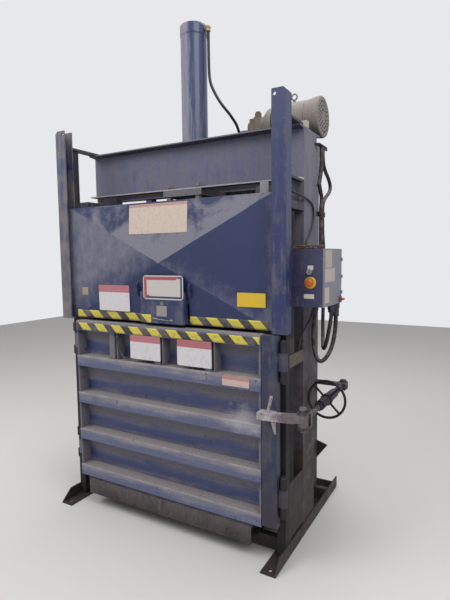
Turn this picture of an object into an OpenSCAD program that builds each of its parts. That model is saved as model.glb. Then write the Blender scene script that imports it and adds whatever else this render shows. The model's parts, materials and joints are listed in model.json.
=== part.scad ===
// Vertical recycling baler: a welded steel press with a hinged bale door,
// a lifting feed gate and a hydraulic cylinder on a channel crosshead.
// +X is the operator's right, +Y the rear, +Z up. The origin is the centre of
// the four anchor holes, on the floor. All sizes are in millimetres.

/* [Base] */
// Length of the two skid angles
skid_len = 1116; // [1000:2:1300]
// Height of a skid's outer leg
skid_leg_h = 75; // [65:1:84]
// Width of a skid's floor leg
skid_flange = 90; // [80:1:120]
// Thickness of the skid angles
skid_t = 8; // [6:1:12]
// Radius of an anchor hole
anchor_r = 11; // [8:0.5:14]
// Distance from a skid's end to its anchor hole
anchor_inset = 38; // [30:1:60]
// Height of the cross channels on the skids
cross_h = 76; // [70:1:100]
// Height of the floor joists and the front sill
joist_h = 102; // [80:1:120]
// Half length of the front sill channel
sill_half = 610; // [580:5:660]
// Thickness of the chamber's floor plate
floor_t = 10; // [6:1:16]

/* [Frame] */
// Width over the side columns
frame_w = 1570; // [1530:5:1700]
// Distance from the skids' front ends to the chamber's front edge
front_overhang = 163; // [155:1:200]
// Distance from the chamber's front edge to the side columns
column_setback = 263; // [230:1:300]
// Depth of a column's channel
column_d = 203; // [190:1:230]
// Flange width of a column's channel
column_flange = 57; // [50:1:70]
// Web thickness of the columns
column_web = 6; // [5:0.5:10]
// Size of the square corner posts
corner_post = 50; // [40:1:60]
// Wall of the square corner posts
corner_wall = 6; // [4:0.5:8]
// Height of the top of the crosshead
crosshead_top = 2388; // [2360:2:2460]
// Depth of the crosshead's channels
crosshead_h = 292; // [260:1:310]
// Flange width of the crosshead's channels
crosshead_flange = 65; // [55:1:80]
// Web thickness of the crosshead's channels
crosshead_web = 8; // [6:0.5:12]

/* [Chamber] */
// Inside width of the bale chamber
chamber_w = 1220; // [1180:5:1240]
// Inside depth of the bale chamber
chamber_d = 770; // [740:5:800]
// Thickness of the chamber's side and rear walls
wall_t = 8; // [5:1:12]
// Height of the chamber's walls above the floor
wall_h = 1844; // [1790:2:1880]
// Distance between two bale tie slots
tie_pitch = 358; // [320:1:370]
// Width of a bale tie slot
tie_slot_w = 16; // [12:1:24]

/* [Bale door] */
// Height of the door
door_h = 1057; // [1040:1:1080]
// Depth of the door with its ribs
door_d = 83; // [70:1:90]
// How far the door laps over each side of the chamber
door_lap = 65; // [50:1:68]
// Height of a door rib
rib_h = 72; // [60:1:90]
// Distance between two ribs
rib_pitch = 251; // [240:1:255]
// Height of the rim along the top of the door
rim_h = 62; // [50:1:80]
// Thickness of the door's skin
skin_t = 8; // [5:1:12]

/* [Hinges and latch] */
// Radius of a hinge knuckle
knuckle_r = 21.5; // [20:0.5:23]
// Radius of a hinge pin
pin_r = 12; // [9:0.5:15]
// Height of an outer knuckle
knuckle_h = 60; // [40:1:80]
// Height of a middle knuckle
middle_h = 96; // [70:1:120]
// Width of the latch post
latch_w = 88; // [80:1:90]
// Depth of the latch post
latch_d = 45; // [38:1:50]
// Lever length from the latch pivot to the screw's pin
lever_reach = 112; // [104:1:124]
// Height of the latch screw
screw_z = 836; // [780:1:880]
// Radius of the latch screw
screw_r = 16; // [12:0.5:18]
// Outer radius of the screw tube
tube_r = 28; // [24:0.5:32]
// Length of the screw tube
tube_len = 270; // [240:2:300]
// Diameter of the handwheel
wheel_d = 232; // [200:2:234]
// Thickness of the handwheel's rim
wheel_rim = 15; // [12:1:18]

/* [Feed gate] */
// Height of the gate
gate_h = 720; // [690:2:740]
// Thickness of the gate's sheet
gate_t = 6; // [4:1:8]
// How far the cross-broken sheet bulges
gate_bulge = 24; // [12:1:28]
// Width of a guide post
guide_w = 81; // [74:1:90]
// Depth of a guide post
guide_d = 68; // [60:1:76]
// Wall of a guide post
guide_t = 8; // [6:1:10]
// Height of the guide posts
guide_h = 1229; // [1215:1:1300]

/* [Press] */
// Outer diameter of the cylinder
barrel_d = 168; // [164:1:176]
// Bore of the cylinder
bore_d = 152; // [140:1:154]
// Length of the cylinder
barrel_len = 1084; // [1070:2:1200]
// Diameter of the piston rod
rod_d = 89; // [76:1:100]
// Thickness of the cylinder's base plate
mount_t = 40; // [25:1:50]
// Travel of the platen
stroke = 900; // [800:5:910]
// Height of the raised platen's face above the floor
platen_z = 1745; // [1735:1:1765]

/* [Power unit] */
// Height of the motor's shaft above its feet
shaft_h = 127; // [124:1:150]
// Radius of the motor's body
motor_r = 113; // [100:1:116]
// Length of the motor's body
motor_len = 220; // [200:2:240]
// Radius of the fan cover
fan_cover_r = 124; // [120:1:126]

/* [Control box] */
// Width of the control box, left to right
ctrl_w = 178; // [160:1:190]
// Depth of the control box, front to rear
ctrl_d = 317; // [290:1:330]
// Height of the control box
ctrl_h = 304; // [280:1:330]
// Height of the control box's underside
ctrl_z = 1405; // [1380:1:1440]

/* [Hidden] */
$fn = 48;
seat = 0.3; // gap where a moving piece rests on its stop
fit = 0.05; // radial running clearance of a pin in its bore
play = 0.2; // radial clearance of a bolt or a welded tube

half_w = frame_w / 2;
chamber_half = chamber_w / 2;
y_front = -skid_len / 2 + front_overhang;
y_rear = y_front + chamber_d;
z_cross = skid_t + cross_h;
z_joist = z_cross + joist_h;
z_floor = z_joist + floor_t;

column_y0 = y_front + column_setback;
column_y1 = column_y0 + column_d;
cyl_y = (column_y0 + column_y1) / 2;
post_y1 = y_front - 1 + corner_post; // rear face of the corner posts
post_y0 = y_front - 1; // front face of the corner posts
post_x = half_w - corner_post; // inner face of the corner posts
crosshead_z0 = crosshead_top - crosshead_h;

door_gap = 9;
door_z0 = z_floor + door_gap;
door_z1 = door_z0 + door_h;
door_y1 = y_front - 1; // back of the door
door_y0 = door_y1 - door_d; // front of the door's ribs
door_half = chamber_half + door_lap;
skin_y0 = door_y1 - skin_t;
rib_count = 4;
tie_x = [-tie_pitch + 17, 17, tie_pitch + 17];
bay_z0 = door_z0 + (rib_count - 1) * rib_pitch + rib_h; // foot of the top bay
bay_z1 = door_z1 - rim_h;

door_pivot = [-(door_half + 31), door_y0 + 43];
latch_pivot = [half_w + 7, door_y0 + 35];
latch_x0 = door_half + 5;
latch_x1 = latch_x0 + latch_w;
hinge_h = 2 * knuckle_h + middle_h;
hinge_z = [door_z0 + 70, door_z1 - 30 - hinge_h];
knuckle_gap = 0.4;

guide_x1 = half_w + 28; // outer face of the guide posts
guide_x0 = guide_x1 - guide_w;
guide_y1 = post_y0;
guide_y0 = guide_y1 - guide_d;
guide_z0 = door_z1 + 8;
guide_z1 = guide_z0 + guide_h;
stop_t = 10;
gate_z0 = guide_z0 + stop_t + seat;
gate_z1 = gate_z0 + gate_h;
gate_y = (guide_y0 + guide_y1) / 2; // middle of the guides
gate_half = guide_x1 - guide_t - 5;
slot_w = 14;
slot_h = 90;
slot_x = [-146, 192];
slot_z = gate_z0 + 31;

mid_tie_h = 43;
low_tie_h = 69;
mid_tie_z = crosshead_z0 - 171;
low_tie_z = screw_z + 231;
leg_t = 8; // leg thickness of the side ties

deck_t = 6;
deck_z = crosshead_top + deck_t;
deck_half = 700;
deck_y1 = y_rear + 11;
rear_post_w = 50;
rear_post_d = 70;
rear_post_x = chamber_half + 40; // inner face of the rear posts
rear_post_y0 = deck_y1 - rear_post_d;

barrel_z0 = crosshead_z0 - mount_t;
barrel_z1 = barrel_z0 + barrel_len;
bore_r = bore_d / 2;
rod_r = rod_d / 2;
cap_t = 30;
piston_h = 60;
piston_top = barrel_z1 - cap_t - 15;
gland_flange = 30;
gland_spigot = 60;
pad_h = 60; // height of the platen's face pads
plate_h = 12;
beam_h = 100;
platen_half = chamber_half - 10;
platen_y0 = y_front + 10;
platen_y1 = y_rear - 10;
rod_z0 = platen_z + pad_h + plate_h + beam_h;
rod_flange_h = 25;
rod_flange_r = 100;

motor_y = crosshead_rear_y() + 134;
motor_z = deck_z + shaft_h;
motor_x0 = 470;
motor_x1 = motor_x0 + motor_len;
cover_len = 93;
shaft_r = 14;
bell_x0 = motor_x0 - 89;
valve_y = motor_y - 75;
pump_len = 84;

ctrl_x0 = half_w + 7; // back of the control box
ctrl_y0 = column_y0 - 205;
ctrl_y1 = ctrl_y0 + ctrl_d;
ctrl_z1 = ctrl_z + ctrl_h;
ctrl_wall = 3;
conduit_r = 12;
cover_t = 8;
stop_at = [ctrl_x0 + 103, ctrl_z + 128];
key_at = [ctrl_x0 + 100, ctrl_z + 184];
knob_at = [ctrl_y1 - 30, ctrl_z + 22];

screw_x = latch_pivot[0] + lever_reach;
lever_pin_y = latch_pivot[1] - 18;
anchor_y = column_y1 + 219; // rear pin of the latch screw
lever_h = 36;
boss_h = 64;
boss_r = 28;
fork_t = 12;
fork_gap = 0.3;
open_play = 4; // clearance of the screw's front pin in its fork
tube_y0 = lever_pin_y + 270;
tube_y1 = tube_y0 + tube_len;
wheel_y = tube_y0 + 130;

// Shifts of the pieces that the cords meet, from where the routes were laid out
barrel_shift = [barrel_d / 2 - 84, cyl_y + 30.5, barrel_z1 - 3140];
valve_shift = [0, valve_y - 138, deck_z - 2394];
bracket_shift = [half_w - 785, column_y1 - 71, crosshead_top - 2388];
post_shift = [half_w - 785, post_y1 + 346, mid_tie_z - 1925];
tie_shift = [half_w - 785, column_y0 + 132, low_tie_z - 1067];
box_shift = [ctrl_x0 - 792, ctrl_y0 + 337, ctrl_z - 1405];
box_top_shift = [ctrl_x0 - 792, ctrl_y0 + 337, ctrl_z1 - 1709];

// Centre line of the hose from the cylinder's top port to the valve block
hose_pts = follow(barrel_shift, valve_shift, [
  [111, -31, 3084], [111, -31, 2990], [112, -31, 2855], [117, -31, 2786], [133, -28, 2736],
  [171, -21, 2664], [198, 0, 2618], [220, 30, 2584], [232, 66, 2551], [238, 98, 2526],
  [238, 124, 2496], [238, 138, 2480], [238, 138, 2462]]);
// Flexible conduits from the top bracket down behind the control box, with a
// drip loop each before they enter the hubs under the box
conduit_a = follow(bracket_shift, box_shift, [
  [798.5, 127, 2324], [798.5, 127, 2290], [798.5, 128, 2230], [798.5, 124, 2175], [799, 100, 2130],
  [799, 88, 2098], [799, 108, 2066], [799, 134, 2035], [799, 134, 1995], [798.5, 127, 1960],
  [798.5, 127, 1900], [799, 127, 1800], [801, 120, 1700], [803, 106, 1600], [803, 84, 1480],
  [803, 53, 1363], [803, 16, 1318], [805, -12, 1257], [810, -34, 1199], [820, -53, 1142],
  [835, -64, 1094], [850, -68, 1068], [868, -70, 1058], [890, -63, 1072], [910, -52, 1104],
  [926, -40, 1148], [938, -38, 1209], [946, -44, 1270], [947, -45, 1306], [947, -45, 1328]]);
conduit_b = follow(bracket_shift, box_shift, [
  [798.5, 158, 2324], [798.5, 158, 2270], [800, 162, 2228], [803, 190, 2187], [805, 240, 2159],
  [806, 280, 2124], [806, 290, 2096], [806, 264, 2064], [804, 206, 2036], [800, 168, 2001],
  [798.5, 158, 1965], [798.5, 158, 1895], [799, 164, 1800], [801, 180, 1720], [803, 180, 1560],
  [803, 174, 1361], [803, 168, 1263], [815, 136, 1176], [840, 55, 1128], [860, 11, 1118],
  [885, -40, 1142], [910, -80, 1200], [930, -108, 1270], [944, -126, 1325], [945, -127, 1342],
  [945, -127, 1358]]);
// Thin cables: one under the box to the lower tie, one over the column to the box
cable_low = follow(box_shift, tie_shift, [
  [818, -42, 1405], [818, -42, 1385], [812, -52, 1345], [804, -72, 1308], [798, -121, 1268],
  [793, -170, 1232], [784, -196, 1190], [781, -200, 1160], [781, -200, 1136]]);
cable_high = follow(post_shift, box_top_shift, [
  [768, -346, 2020], [768, -325, 2020], [782, -268, 2012], [792, -205, 2003], [794, -140, 1997],
  [794, -82, 1988], [794, -25, 1974], [794, 3, 1945], [794, 8, 1881], [794, -20, 1835],
  [794, -62, 1792], [794, -100, 1762], [799, -128, 1738], [801, -132, 1722], [801, -132, 1709]]);

function crosshead_rear_y() = column_y1 + crosshead_web;

blue = [0.19, 0.22, 0.38];
grey = [0.55, 0.55, 0.54];
steel = [0.42, 0.40, 0.40];
black = [0.12, 0.12, 0.13];

// A block between low and high values on each axis
module block(x, y, z) {
  translate([x[0], y[0], z[0]]) cube([x[1] - x[0], y[1] - y[0], z[1] - z[0]]);
}

// Draws for the left side, or mirrored for the right
module on_side(side) {
  if (side < 0) children();
  else mirror([1, 0, 0]) children();
}

// A flat shape whose X becomes Y and whose Y becomes Z, drawn out along X
module along_x(x0, x1) {
  translate([x0, 0, 0]) rotate([90, 0, 90]) linear_extrude(x1 - x0) children();
}

// A flat shape whose Y becomes Z, drawn out along Y
module along_y(y0, y1) {
  translate([0, y1, 0]) rotate([90, 0, 0]) linear_extrude(y1 - y0) children();
}

// Rolled channel: web of height h on the Y axis, tapered flanges towards +X
module channel(h, flange, web, flange_t) {
  polygon([[0, 0], [flange, 0], [flange, flange_t * 0.7], [web, flange_t * 1.3],
           [web, h - flange_t * 1.3], [flange, h - flange_t * 0.7], [flange, h], [0, h]]);
}

// Ring standing on z, for knuckles, glands and bosses
module ring(r, r_hole, h) {
  difference() {
    cylinder(r = r, h = h);
    translate([0, 0, -1]) cylinder(r = r_hole, h = h + 2);
  }
}

// Round tube swept along points, for cords and pipes
function unit(v) = v / norm(v);
function run_dir(p, i) = unit(p[min(i + 1, len(p) - 1)] - p[max(i - 1, 0)]);
function side_dir(d) = unit(cross(d, abs(d[1]) > 0.9 ? [1, 0, 0] : [0, 1, 0]));
function ring_at(c, d, r, n) =
  let (a = side_dir(d), b = cross(d, a))
  [for (k = [0:n - 1]) c + r * (cos(k * 360 / n) * a + sin(k * 360 / n) * b)];
module sweep(pts, r, n = 10) {
  m = len(pts);
  rings = [for (i = [0:m - 1]) each ring_at(pts[i], run_dir(pts, i), r, n)];
  walls = [for (i = [0:m - 2], k = [0:n - 1])
    [i * n + k, (i + 1) * n + k, (i + 1) * n + (k + 1) % n, i * n + (k + 1) % n]];
  polyhedron(rings, concat(walls, [[for (k = [0:n - 1]) k]],
    [[for (k = [n - 1:-1:0]) (m - 1) * n + k]]), convexity = 6);
}

// Points rounded once between the chosen ones, so that a cord bends smoothly
// A route whose first three points move by a and whose last three move by b
function follow(a, b, p) = [for (i = [0:len(p) - 1])
  let (t = min(1, max(0, (i - 2) / (len(p) - 5)))) p[i] + (1 - t) * a + t * b];

function smooth(p) = concat([p[0]],
  [for (i = [0:len(p) - 2]) each [0.75 * p[i] + 0.25 * p[i + 1], 0.25 * p[i] + 0.75 * p[i + 1]]],
  [p[len(p) - 1]]);

// Skid: an angle with its upright leg outside, chamfered at the front
module skid(side) {
  x_out = half_w + skid_t;
  on_side(side) color(black) difference() {
    union() {
      block([-x_out, -x_out + skid_flange], [-skid_len / 2, skid_len / 2], [0, skid_t]);
      along_x(-x_out, -half_w)
        polygon([[-skid_len / 2, 0], [skid_len / 2, 0], [skid_len / 2, skid_leg_h],
                 [-skid_len / 2 + skid_leg_h, skid_leg_h], [-skid_len / 2, skid_t]]);
    }
    for (s = [-1, 1])
      translate([-x_out + skid_flange / 2, s * (skid_len / 2 - anchor_inset), -1])
        cylinder(r = anchor_r, h = skid_t + 2);
  }
}
module skid_left() { skid(-1); }
module skid_right() { skid(1); }

// Base frame: cross channels on the skids, joists and a front sill channel
module base_frame() {
  cross_t = 6;
  cross_flange = 38;
  sill_y = door_y0 + 4;
  color(blue) {
    for (y = [post_y1, rear_post_y0])
      along_x(-half_w, half_w) translate([y, skid_t]) channel(cross_h, cross_flange, cross_t, cross_t);
    along_x(-half_w, half_w) translate([skid_len / 2 - 60, skid_t])
      polygon([[0, 0], [cross_flange + 12, 0], [cross_flange + 12, cross_t], [cross_t, cross_t],
               [cross_t, 50], [0, 50]]);
    along_x(-sill_half, sill_half) translate([sill_y, z_cross]) channel(joist_h, 42, cross_t, 8);
    for (x = [-chamber_half + 8, -200, 160, chamber_half - 48])
      along_y(sill_y + cross_t, y_rear) translate([x, z_cross]) channel(joist_h, 40, cross_t, 8);
  }
}

// Floor plate with three open slots for the bale ties
module chamber_floor() {
  color(steel) difference() {
    block([-chamber_half - wall_t, chamber_half + wall_t], [door_y0 + 8, y_rear], [z_joist, z_floor]);
    for (x = tie_x)
      block([x - tie_slot_w / 2, x + tie_slot_w / 2], [y_front - 30, y_rear - 60],
            [z_joist - 1, z_floor + 1]);
  }
}

// Side wall: one sheet folded out to the corner post at the front, with a
// riser under the fold and one upright stiffener
module side_wall(side) {
  x_out = -chamber_half - wall_t;
  stiff_y = (post_y1 + column_y0) / 2;
  on_side(side) color(blue) {
    translate([0, 0, z_floor]) linear_extrude(wall_h)
      polygon([[-chamber_half, y_front], [-chamber_half, y_rear], [x_out, y_rear],
               [x_out, y_front + wall_t], [-post_x, y_front + wall_t], [-post_x, y_front]]);
    block([x_out - 70, x_out], [stiff_y - 5, stiff_y + 5], [z_floor, low_tie_z]);
    block([x_out - 70, x_out], [stiff_y - 5, stiff_y + 5], [low_tie_z + leg_t, mid_tie_z]);
  }
}
module side_wall_left() { side_wall(-1); }
module side_wall_right() { side_wall(1); }

// Rear wall with four horizontal channels behind it
module rear_wall() {
  stiff_h = 76;
  color(blue) {
    block([-rear_post_x, rear_post_x], [y_rear, y_rear + wall_t], [z_joist, z_floor + wall_h]);
    for (i = [0:3])
      translate([0, y_rear + wall_t + 38, 0]) mirror([0, 1, 0])
        along_x(-rear_post_x, rear_post_x)
          translate([0, z_floor + 250 + i * 400]) channel(stiff_h, 38, 5, 7);
  }
}

// Side column: a rolled channel with its web outside
module column(side) {
  on_side(side) color(blue) translate([-half_w, column_y0, skid_t])
    linear_extrude(crosshead_top - skid_t) channel(column_d, column_flange, column_web, 10);
}
module column_left() { column(-1); }
module column_right() { column(1); }

// Outer knuckles of one hinge, bottom and top
module frame_knuckles(at, z) {
  for (k = [0, knuckle_h + middle_h])
    translate([at[0], at[1], z + k]) ring(knuckle_r, pin_r + fit, knuckle_h);
}

// Corner post: a square tube, with the fixed knuckles and their arms
module corner_post_shape(at) {
  arm_t = 12;
  arm_x = -abs(at[0]) > -post_x ? -abs(at[0]) - 6 : -half_w;
  difference() {
    union() {
      difference() {
        block([-half_w, -post_x], [post_y0, post_y1], [skid_t, crosshead_top]);
        block([-half_w + corner_wall, -post_x - corner_wall],
              [post_y0 + corner_wall, post_y1 - corner_wall], [skid_t + 6, crosshead_top - 6]);
      }
      for (z = hinge_z, k = [0, knuckle_h + middle_h]) {
        block([arm_x, arm_x + arm_t], [at[1], post_y0], [z + k, z + k + knuckle_h]);
        block([min(arm_x, -half_w), max(arm_x + arm_t, -post_x)], [post_y0 - 10, post_y0],
              [z + k, z + k + knuckle_h]);
      }
      for (z = hinge_z, k = [0, knuckle_h + middle_h])
        translate([-abs(at[0]), at[1], z + k]) cylinder(r = knuckle_r, h = knuckle_h);
    }
    for (z = hinge_z)
      translate([-abs(at[0]), at[1], z - 1]) cylinder(r = pin_r + fit, h = hinge_h + 2);
  }
}
module corner_post_left() { color(blue) corner_post_shape(door_pivot); }
module corner_post_right() { color(blue) mirror([1, 0, 0]) corner_post_shape(latch_pivot); }

// Rear posts: channels that carry the rear wall and the deck
module rear_posts() {
  for (side = [-1, 1])
    on_side(side) color(blue) translate([-rear_post_x - rear_post_w, rear_post_y0, z_cross])
      linear_extrude(crosshead_top - z_cross) channel(rear_post_d, rear_post_w, 6, 8);
}

// Guide post: a folded channel, open towards the gate, with the gate's stop in it
module guide_post(side) {
  on_side(side) color(blue) difference() {
    union() {
      translate([0, 0, guide_z0]) linear_extrude(guide_h)
        polygon([[-guide_x1, guide_y0], [-guide_x0, guide_y0], [-guide_x0, guide_y0 + guide_t],
                 [-guide_x1 + guide_t, guide_y0 + guide_t], [-guide_x1 + guide_t, guide_y1 - guide_t],
                 [-guide_x0, guide_y1 - guide_t], [-guide_x0, guide_y1], [-guide_x1, guide_y1]]);
      block([-guide_x1 + guide_t, -guide_x0], [guide_y0 + guide_t, guide_y1 - guide_t],
            [guide_z0, guide_z0 + stop_t]);
    }
    translate([-guide_x0 - 16, guide_y0 - 1, guide_z1 - 26])
      rotate([-90, 0, 0]) cylinder(r = 9, h = guide_t + 2);
    translate([-guide_x1, guide_y0, guide_z1]) rotate([0, -45, 0]) cube([24, 3 * guide_d, 24], center = true);
  }
}
module guide_post_left() { guide_post(-1); }
module guide_post_right() { guide_post(1); }

// Side tie: an angle from a front post to the column, its flat leg on the wall
module side_tie(y0, z, h) {
  x_wall = -chamber_half - wall_t;
  along_y(y0, column_y0)
    polygon([[-half_w, z], [x_wall, z], [x_wall, z + leg_t], [-half_w + leg_t, z + leg_t],
             [-half_w + leg_t, z + h], [-half_w, z + h]]);
}

// Braces: middle and lower ties, flat ties on the crosshead, plates that close
// the frame's sides near the floor, and a rear gusset
module side_braces() {
  bar_t = 12;
  gusset_z = z_floor + 198;
  color(blue) {
    for (side = [-1, 1])
      on_side(side) {
        side_tie(post_y1, mid_tie_z, mid_tie_h);
        side_tie(post_y1, low_tie_z, low_tie_h);
        block([-half_w, -half_w + leg_t], [post_y1, column_y0], [z_cross, z_floor + 217]);
        block([-half_w, -half_w + 60], [guide_y1, column_y0 - crosshead_web - 10],
              [crosshead_top, crosshead_top + bar_t]);
      }
    block([half_w - 40, half_w], [post_y1, column_y0 - crosshead_web - 10],
          [crosshead_z0 - bar_t, crosshead_z0]);
    translate([0, 0, gusset_z]) along_y(deck_y1 - 8, deck_y1)
      polygon([[deck_half, 0], [deck_half + 76, -23], [deck_half, -125]]);
  }
}

// Front crosshead channel, its flanges to the front, with two bolt holes
module crosshead_front() {
  color(blue) difference() {
    translate([0, column_y0, 0]) mirror([0, 1, 0]) along_x(-half_w, half_w)
      translate([0, crosshead_z0]) channel(crosshead_h, crosshead_flange, crosshead_web, 11);
    for (x = [-1, 1])
      translate([x * bolt_x(), bolt_y()[0], crosshead_z0 - 1]) cylinder(r = bolt_r + play, h = 30);
  }
}

// Rear crosshead channel, its flanges to the rear
module crosshead_rear() {
  color(blue) difference() {
    translate([0, column_y1, 0]) along_x(-half_w, half_w)
      translate([0, crosshead_z0]) channel(crosshead_h, crosshead_flange, crosshead_web, 11);
    for (x = [-1, 1])
      translate([x * bolt_x(), bolt_y()[1], crosshead_z0 - 1]) cylinder(r = bolt_r + play, h = 30);
  }
}

bolt_r = 14;
function bolt_x() = barrel_d / 2 + 26;
function bolt_y() = [column_y0 - crosshead_flange / 2 - 6, column_y1 + crosshead_flange / 2 + 6];

// Thick base plate under both channels, which carries the cylinder
module cylinder_mount() {
  half = bolt_x() + 34;
  color(grey) difference() {
    block([-half, half], [bolt_y()[0] - 26, bolt_y()[1] + 26], [barrel_z0, crosshead_z0]);
    translate([0, cyl_y, barrel_z0 - 1]) cylinder(r = barrel_d / 2 + play, h = mount_t + 2);
    for (x = [-1, 1], y = bolt_y())
      translate([x * bolt_x(), y, barrel_z0 - 1]) cylinder(r = bolt_r + play, h = mount_t + 2);
  }
}

// Four bolts down through the flanges and the base plate, with nuts below
module mount_bolts() {
  flange_top = crosshead_z0 + 11 * 1.35;
  color(grey) for (x = [-1, 1], y = bolt_y())
    translate([x * bolt_x(), y, 0]) {
      translate([0, 0, flange_top]) cylinder(r = 24, h = 16, $fn = 6);
      translate([0, 0, barrel_z0 - 34]) cylinder(r = bolt_r, h = flange_top + 34 - barrel_z0);
      translate([0, 0, barrel_z0 - 24]) cylinder(r = 24, h = 24, $fn = 6);
    }
}

// Cylinder barrel with its welded cap ring and closed top
module cylinder_barrel() {
  r = barrel_d / 2;
  cap_h = 70;
  color(blue) translate([0, cyl_y, 0]) rotate_extrude($fn = 96)
    polygon([[bore_r, barrel_z0], [r, barrel_z0], [r, barrel_z1 - cap_h - 4], [r + 2, barrel_z1 - cap_h],
             [r + 3, barrel_z1 - cap_h + 6], [r + 3, barrel_z1 - 16], [r, barrel_z1 - 5],
             [r - 12, barrel_z1], [0, barrel_z1], [0, barrel_z1 - cap_t], [bore_r, barrel_z1 - cap_t]]);
}

// Rod gland: a spigot in the barrel and a flange under the base plate
module cylinder_gland() {
  color(grey) translate([0, cyl_y, 0]) difference() {
    union() {
      translate([0, 0, barrel_z0 - gland_flange]) cylinder(r = bore_r - 4, h = gland_flange);
      translate([0, 0, barrel_z0 - 1]) cylinder(r = bore_r - play, h = gland_spigot + 1);
      translate([0, 0, barrel_z0 - gland_flange]) cylinder(r = barrel_d / 2 + 6, h = gland_flange - 0.01);
    }
    translate([0, 0, barrel_z0 - gland_flange - 1])
      cylinder(r = rod_r + fit, h = gland_flange + gland_spigot + 2);
  }
}

// Elbow at the cylinder's top port: a boss on the cap and a stub that turns down
module port_fitting() {
  z = barrel_z1 - 34;
  r = barrel_d / 2 + 3;
  color([0.62, 0.58, 0.44]) {
    difference() {
      translate([r - 3, cyl_y, z]) rotate([0, 90, 0]) cylinder(r = 15, h = 27);
      translate([0, cyl_y, barrel_z1 - 71]) cylinder(r = r + 0.02, h = 80, $fn = 96);
    }
    translate([r + 24, cyl_y, z]) sphere(r = 16);
    translate([r + 24, cyl_y, z - 22]) cylinder(r = 16, h = 22, $fn = 6);
  }
}

// Hose from the top port down beside the cylinder and over to the valve block
module hydraulic_hose() {
  color(black) sweep(smooth(hose_pts), 9);
}

// Steel pipe from the valve block down between the channels to the lower port
module return_pipe() {
  x = 292;
  z_port = crosshead_z0 + 90;
  pipe_r = 8;
  y_face = valve_y - 30;
  color(steel) {
    translate([x, cyl_y, deck_z + 30]) rotate([-90, 0, 0]) cylinder(r = pipe_r, h = y_face - cyl_y);
    translate([x, cyl_y, deck_z + 30]) sphere(r = pipe_r);
    translate([x, cyl_y, z_port]) cylinder(r = pipe_r, h = deck_z + 30 - z_port);
    translate([x, cyl_y, z_port]) sphere(r = pipe_r);
    translate([barrel_d / 2 + 20, cyl_y, z_port]) rotate([0, 90, 0])
      cylinder(r = pipe_r, h = x - barrel_d / 2 - 20);
    translate([barrel_d / 2 + 0.3, cyl_y, z_port]) rotate([0, 90, 0]) cylinder(r = 15, h = 24, $fn = 6);
  }
}

// Deck plate between the rear channel and the rear posts
module deck_plate() {
  color(blue) block([-deck_half, deck_half], [column_y1, deck_y1], [crosshead_top, deck_z]);
}

// Oil tank under the deck: a folded sheet tank that the deck plate closes
module oil_reservoir() {
  y0 = crosshead_rear_y() + crosshead_flange + 2;
  y1 = rear_post_y0 - 4;
  z0 = crosshead_z0 + 48;
  fold = 18;
  sheet = 4;
  color(blue) difference() {
    along_x(-350, 250)
      polygon([[y0, crosshead_top], [y0, z0 + fold], [y0 + fold, z0],
               [y1 - fold, z0], [y1, z0 + fold], [y1, crosshead_top]]);
    along_x(-350 + sheet, 250 - sheet)
      polygon([[y0 + sheet, crosshead_top + 1], [y0 + sheet, z0 + fold + 2], [y0 + fold + 2, z0 + sheet],
               [y1 - fold - 2, z0 + sheet], [y1 - sheet, z0 + fold + 2], [y1 - sheet, crosshead_top + 1]]);
  }
}

// Valve block on the deck beside the pump, with the elbow that takes the hose
module valve_block() {
  hose_end = hose_pts[len(hose_pts) - 1];
  color(grey) {
    block([262, 322], [valve_y - 30, valve_y + 30], [deck_z, deck_z + 90]);
    translate([hose_end[0], valve_y, hose_end[2] - 30]) {
      sphere(r = 13);
      rotate([0, 90, 0]) cylinder(r = 11, h = 262 - hose_end[0]);
      cylinder(r = 14, h = 30, $fn = 6);
    }
  }
}

// Gear pump: a square body with a round end cover, on the motor's axis
module gear_pump() {
  x0 = bell_x0 - pump_len;
  color([0.44, 0.39, 0.33]) {
    difference() {
      block([x0, bell_x0], [motor_y - 45, motor_y + 45], [motor_z - 48, motor_z + 48]);
      translate([x0 + 20, motor_y, motor_z]) rotate([0, 90, 0]) cylinder(r = shaft_r + 0.6, h = pump_len);
    }
    translate([x0 - 18, motor_y, motor_z]) rotate([0, 90, 0]) cylinder(r = 38, h = 18);
  }
}

// Relief and solenoid valve that stands on the pump
module solenoid_valve() {
  x = bell_x0 - pump_len / 2;
  z = motor_z + 48;
  color([0.50, 0.44, 0.36]) translate([x, motor_y, z]) {
    cylinder(r = 30, h = 14);
    translate([0, 0, 14]) cylinder(r = 24, h = 26, $fn = 6);
    translate([0, 0, 40]) cylinder(r = 16, h = 10);
  }
}

// Bell housing between the pump and the motor
module pump_adapter() {
  color(grey) translate([bell_x0, motor_y, motor_z]) rotate([0, 90, 0]) difference() {
    rotate_extrude($fn = 64)
      polygon([[0, 0], [58, 0], [62, 12], [96, 48], [104, 62], [104, 89], [0, 89]]);
    translate([0, 0, -1]) cylinder(r = shaft_r + 0.6, h = 91);
  }
}

// Motor: rolled shell with an end bell, on two pressed feet
module motor_housing() {
  foot_half = 95;
  color(grey) difference() {
    union() {
      translate([motor_x0, motor_y, motor_z]) rotate([0, 90, 0]) rotate_extrude($fn = 96)
        polygon([[0, 0], [motor_r - 22, 0], [motor_r - 6, 8], [motor_r, 24], [motor_r, motor_len - 4],
                 [motor_r - 4, motor_len], [0, motor_len]]);
      for (x = [motor_x0 + 36, motor_x1 - 76])
        along_x(x, x + 40)
          polygon([[motor_y - foot_half, deck_z], [motor_y + foot_half, deck_z],
                   [motor_y + foot_half, deck_z + 9], [motor_y + 74, deck_z + 12],
                   [motor_y + 58, deck_z + 40], [motor_y - 58, deck_z + 40],
                   [motor_y - 74, deck_z + 12], [motor_y - foot_half, deck_z + 9]]);
    }
    translate([motor_x0 - 1, motor_y, motor_z]) rotate([0, 90, 0])
      cylinder(r = shaft_r + fit, h = motor_len + 2);
  }
}

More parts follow.
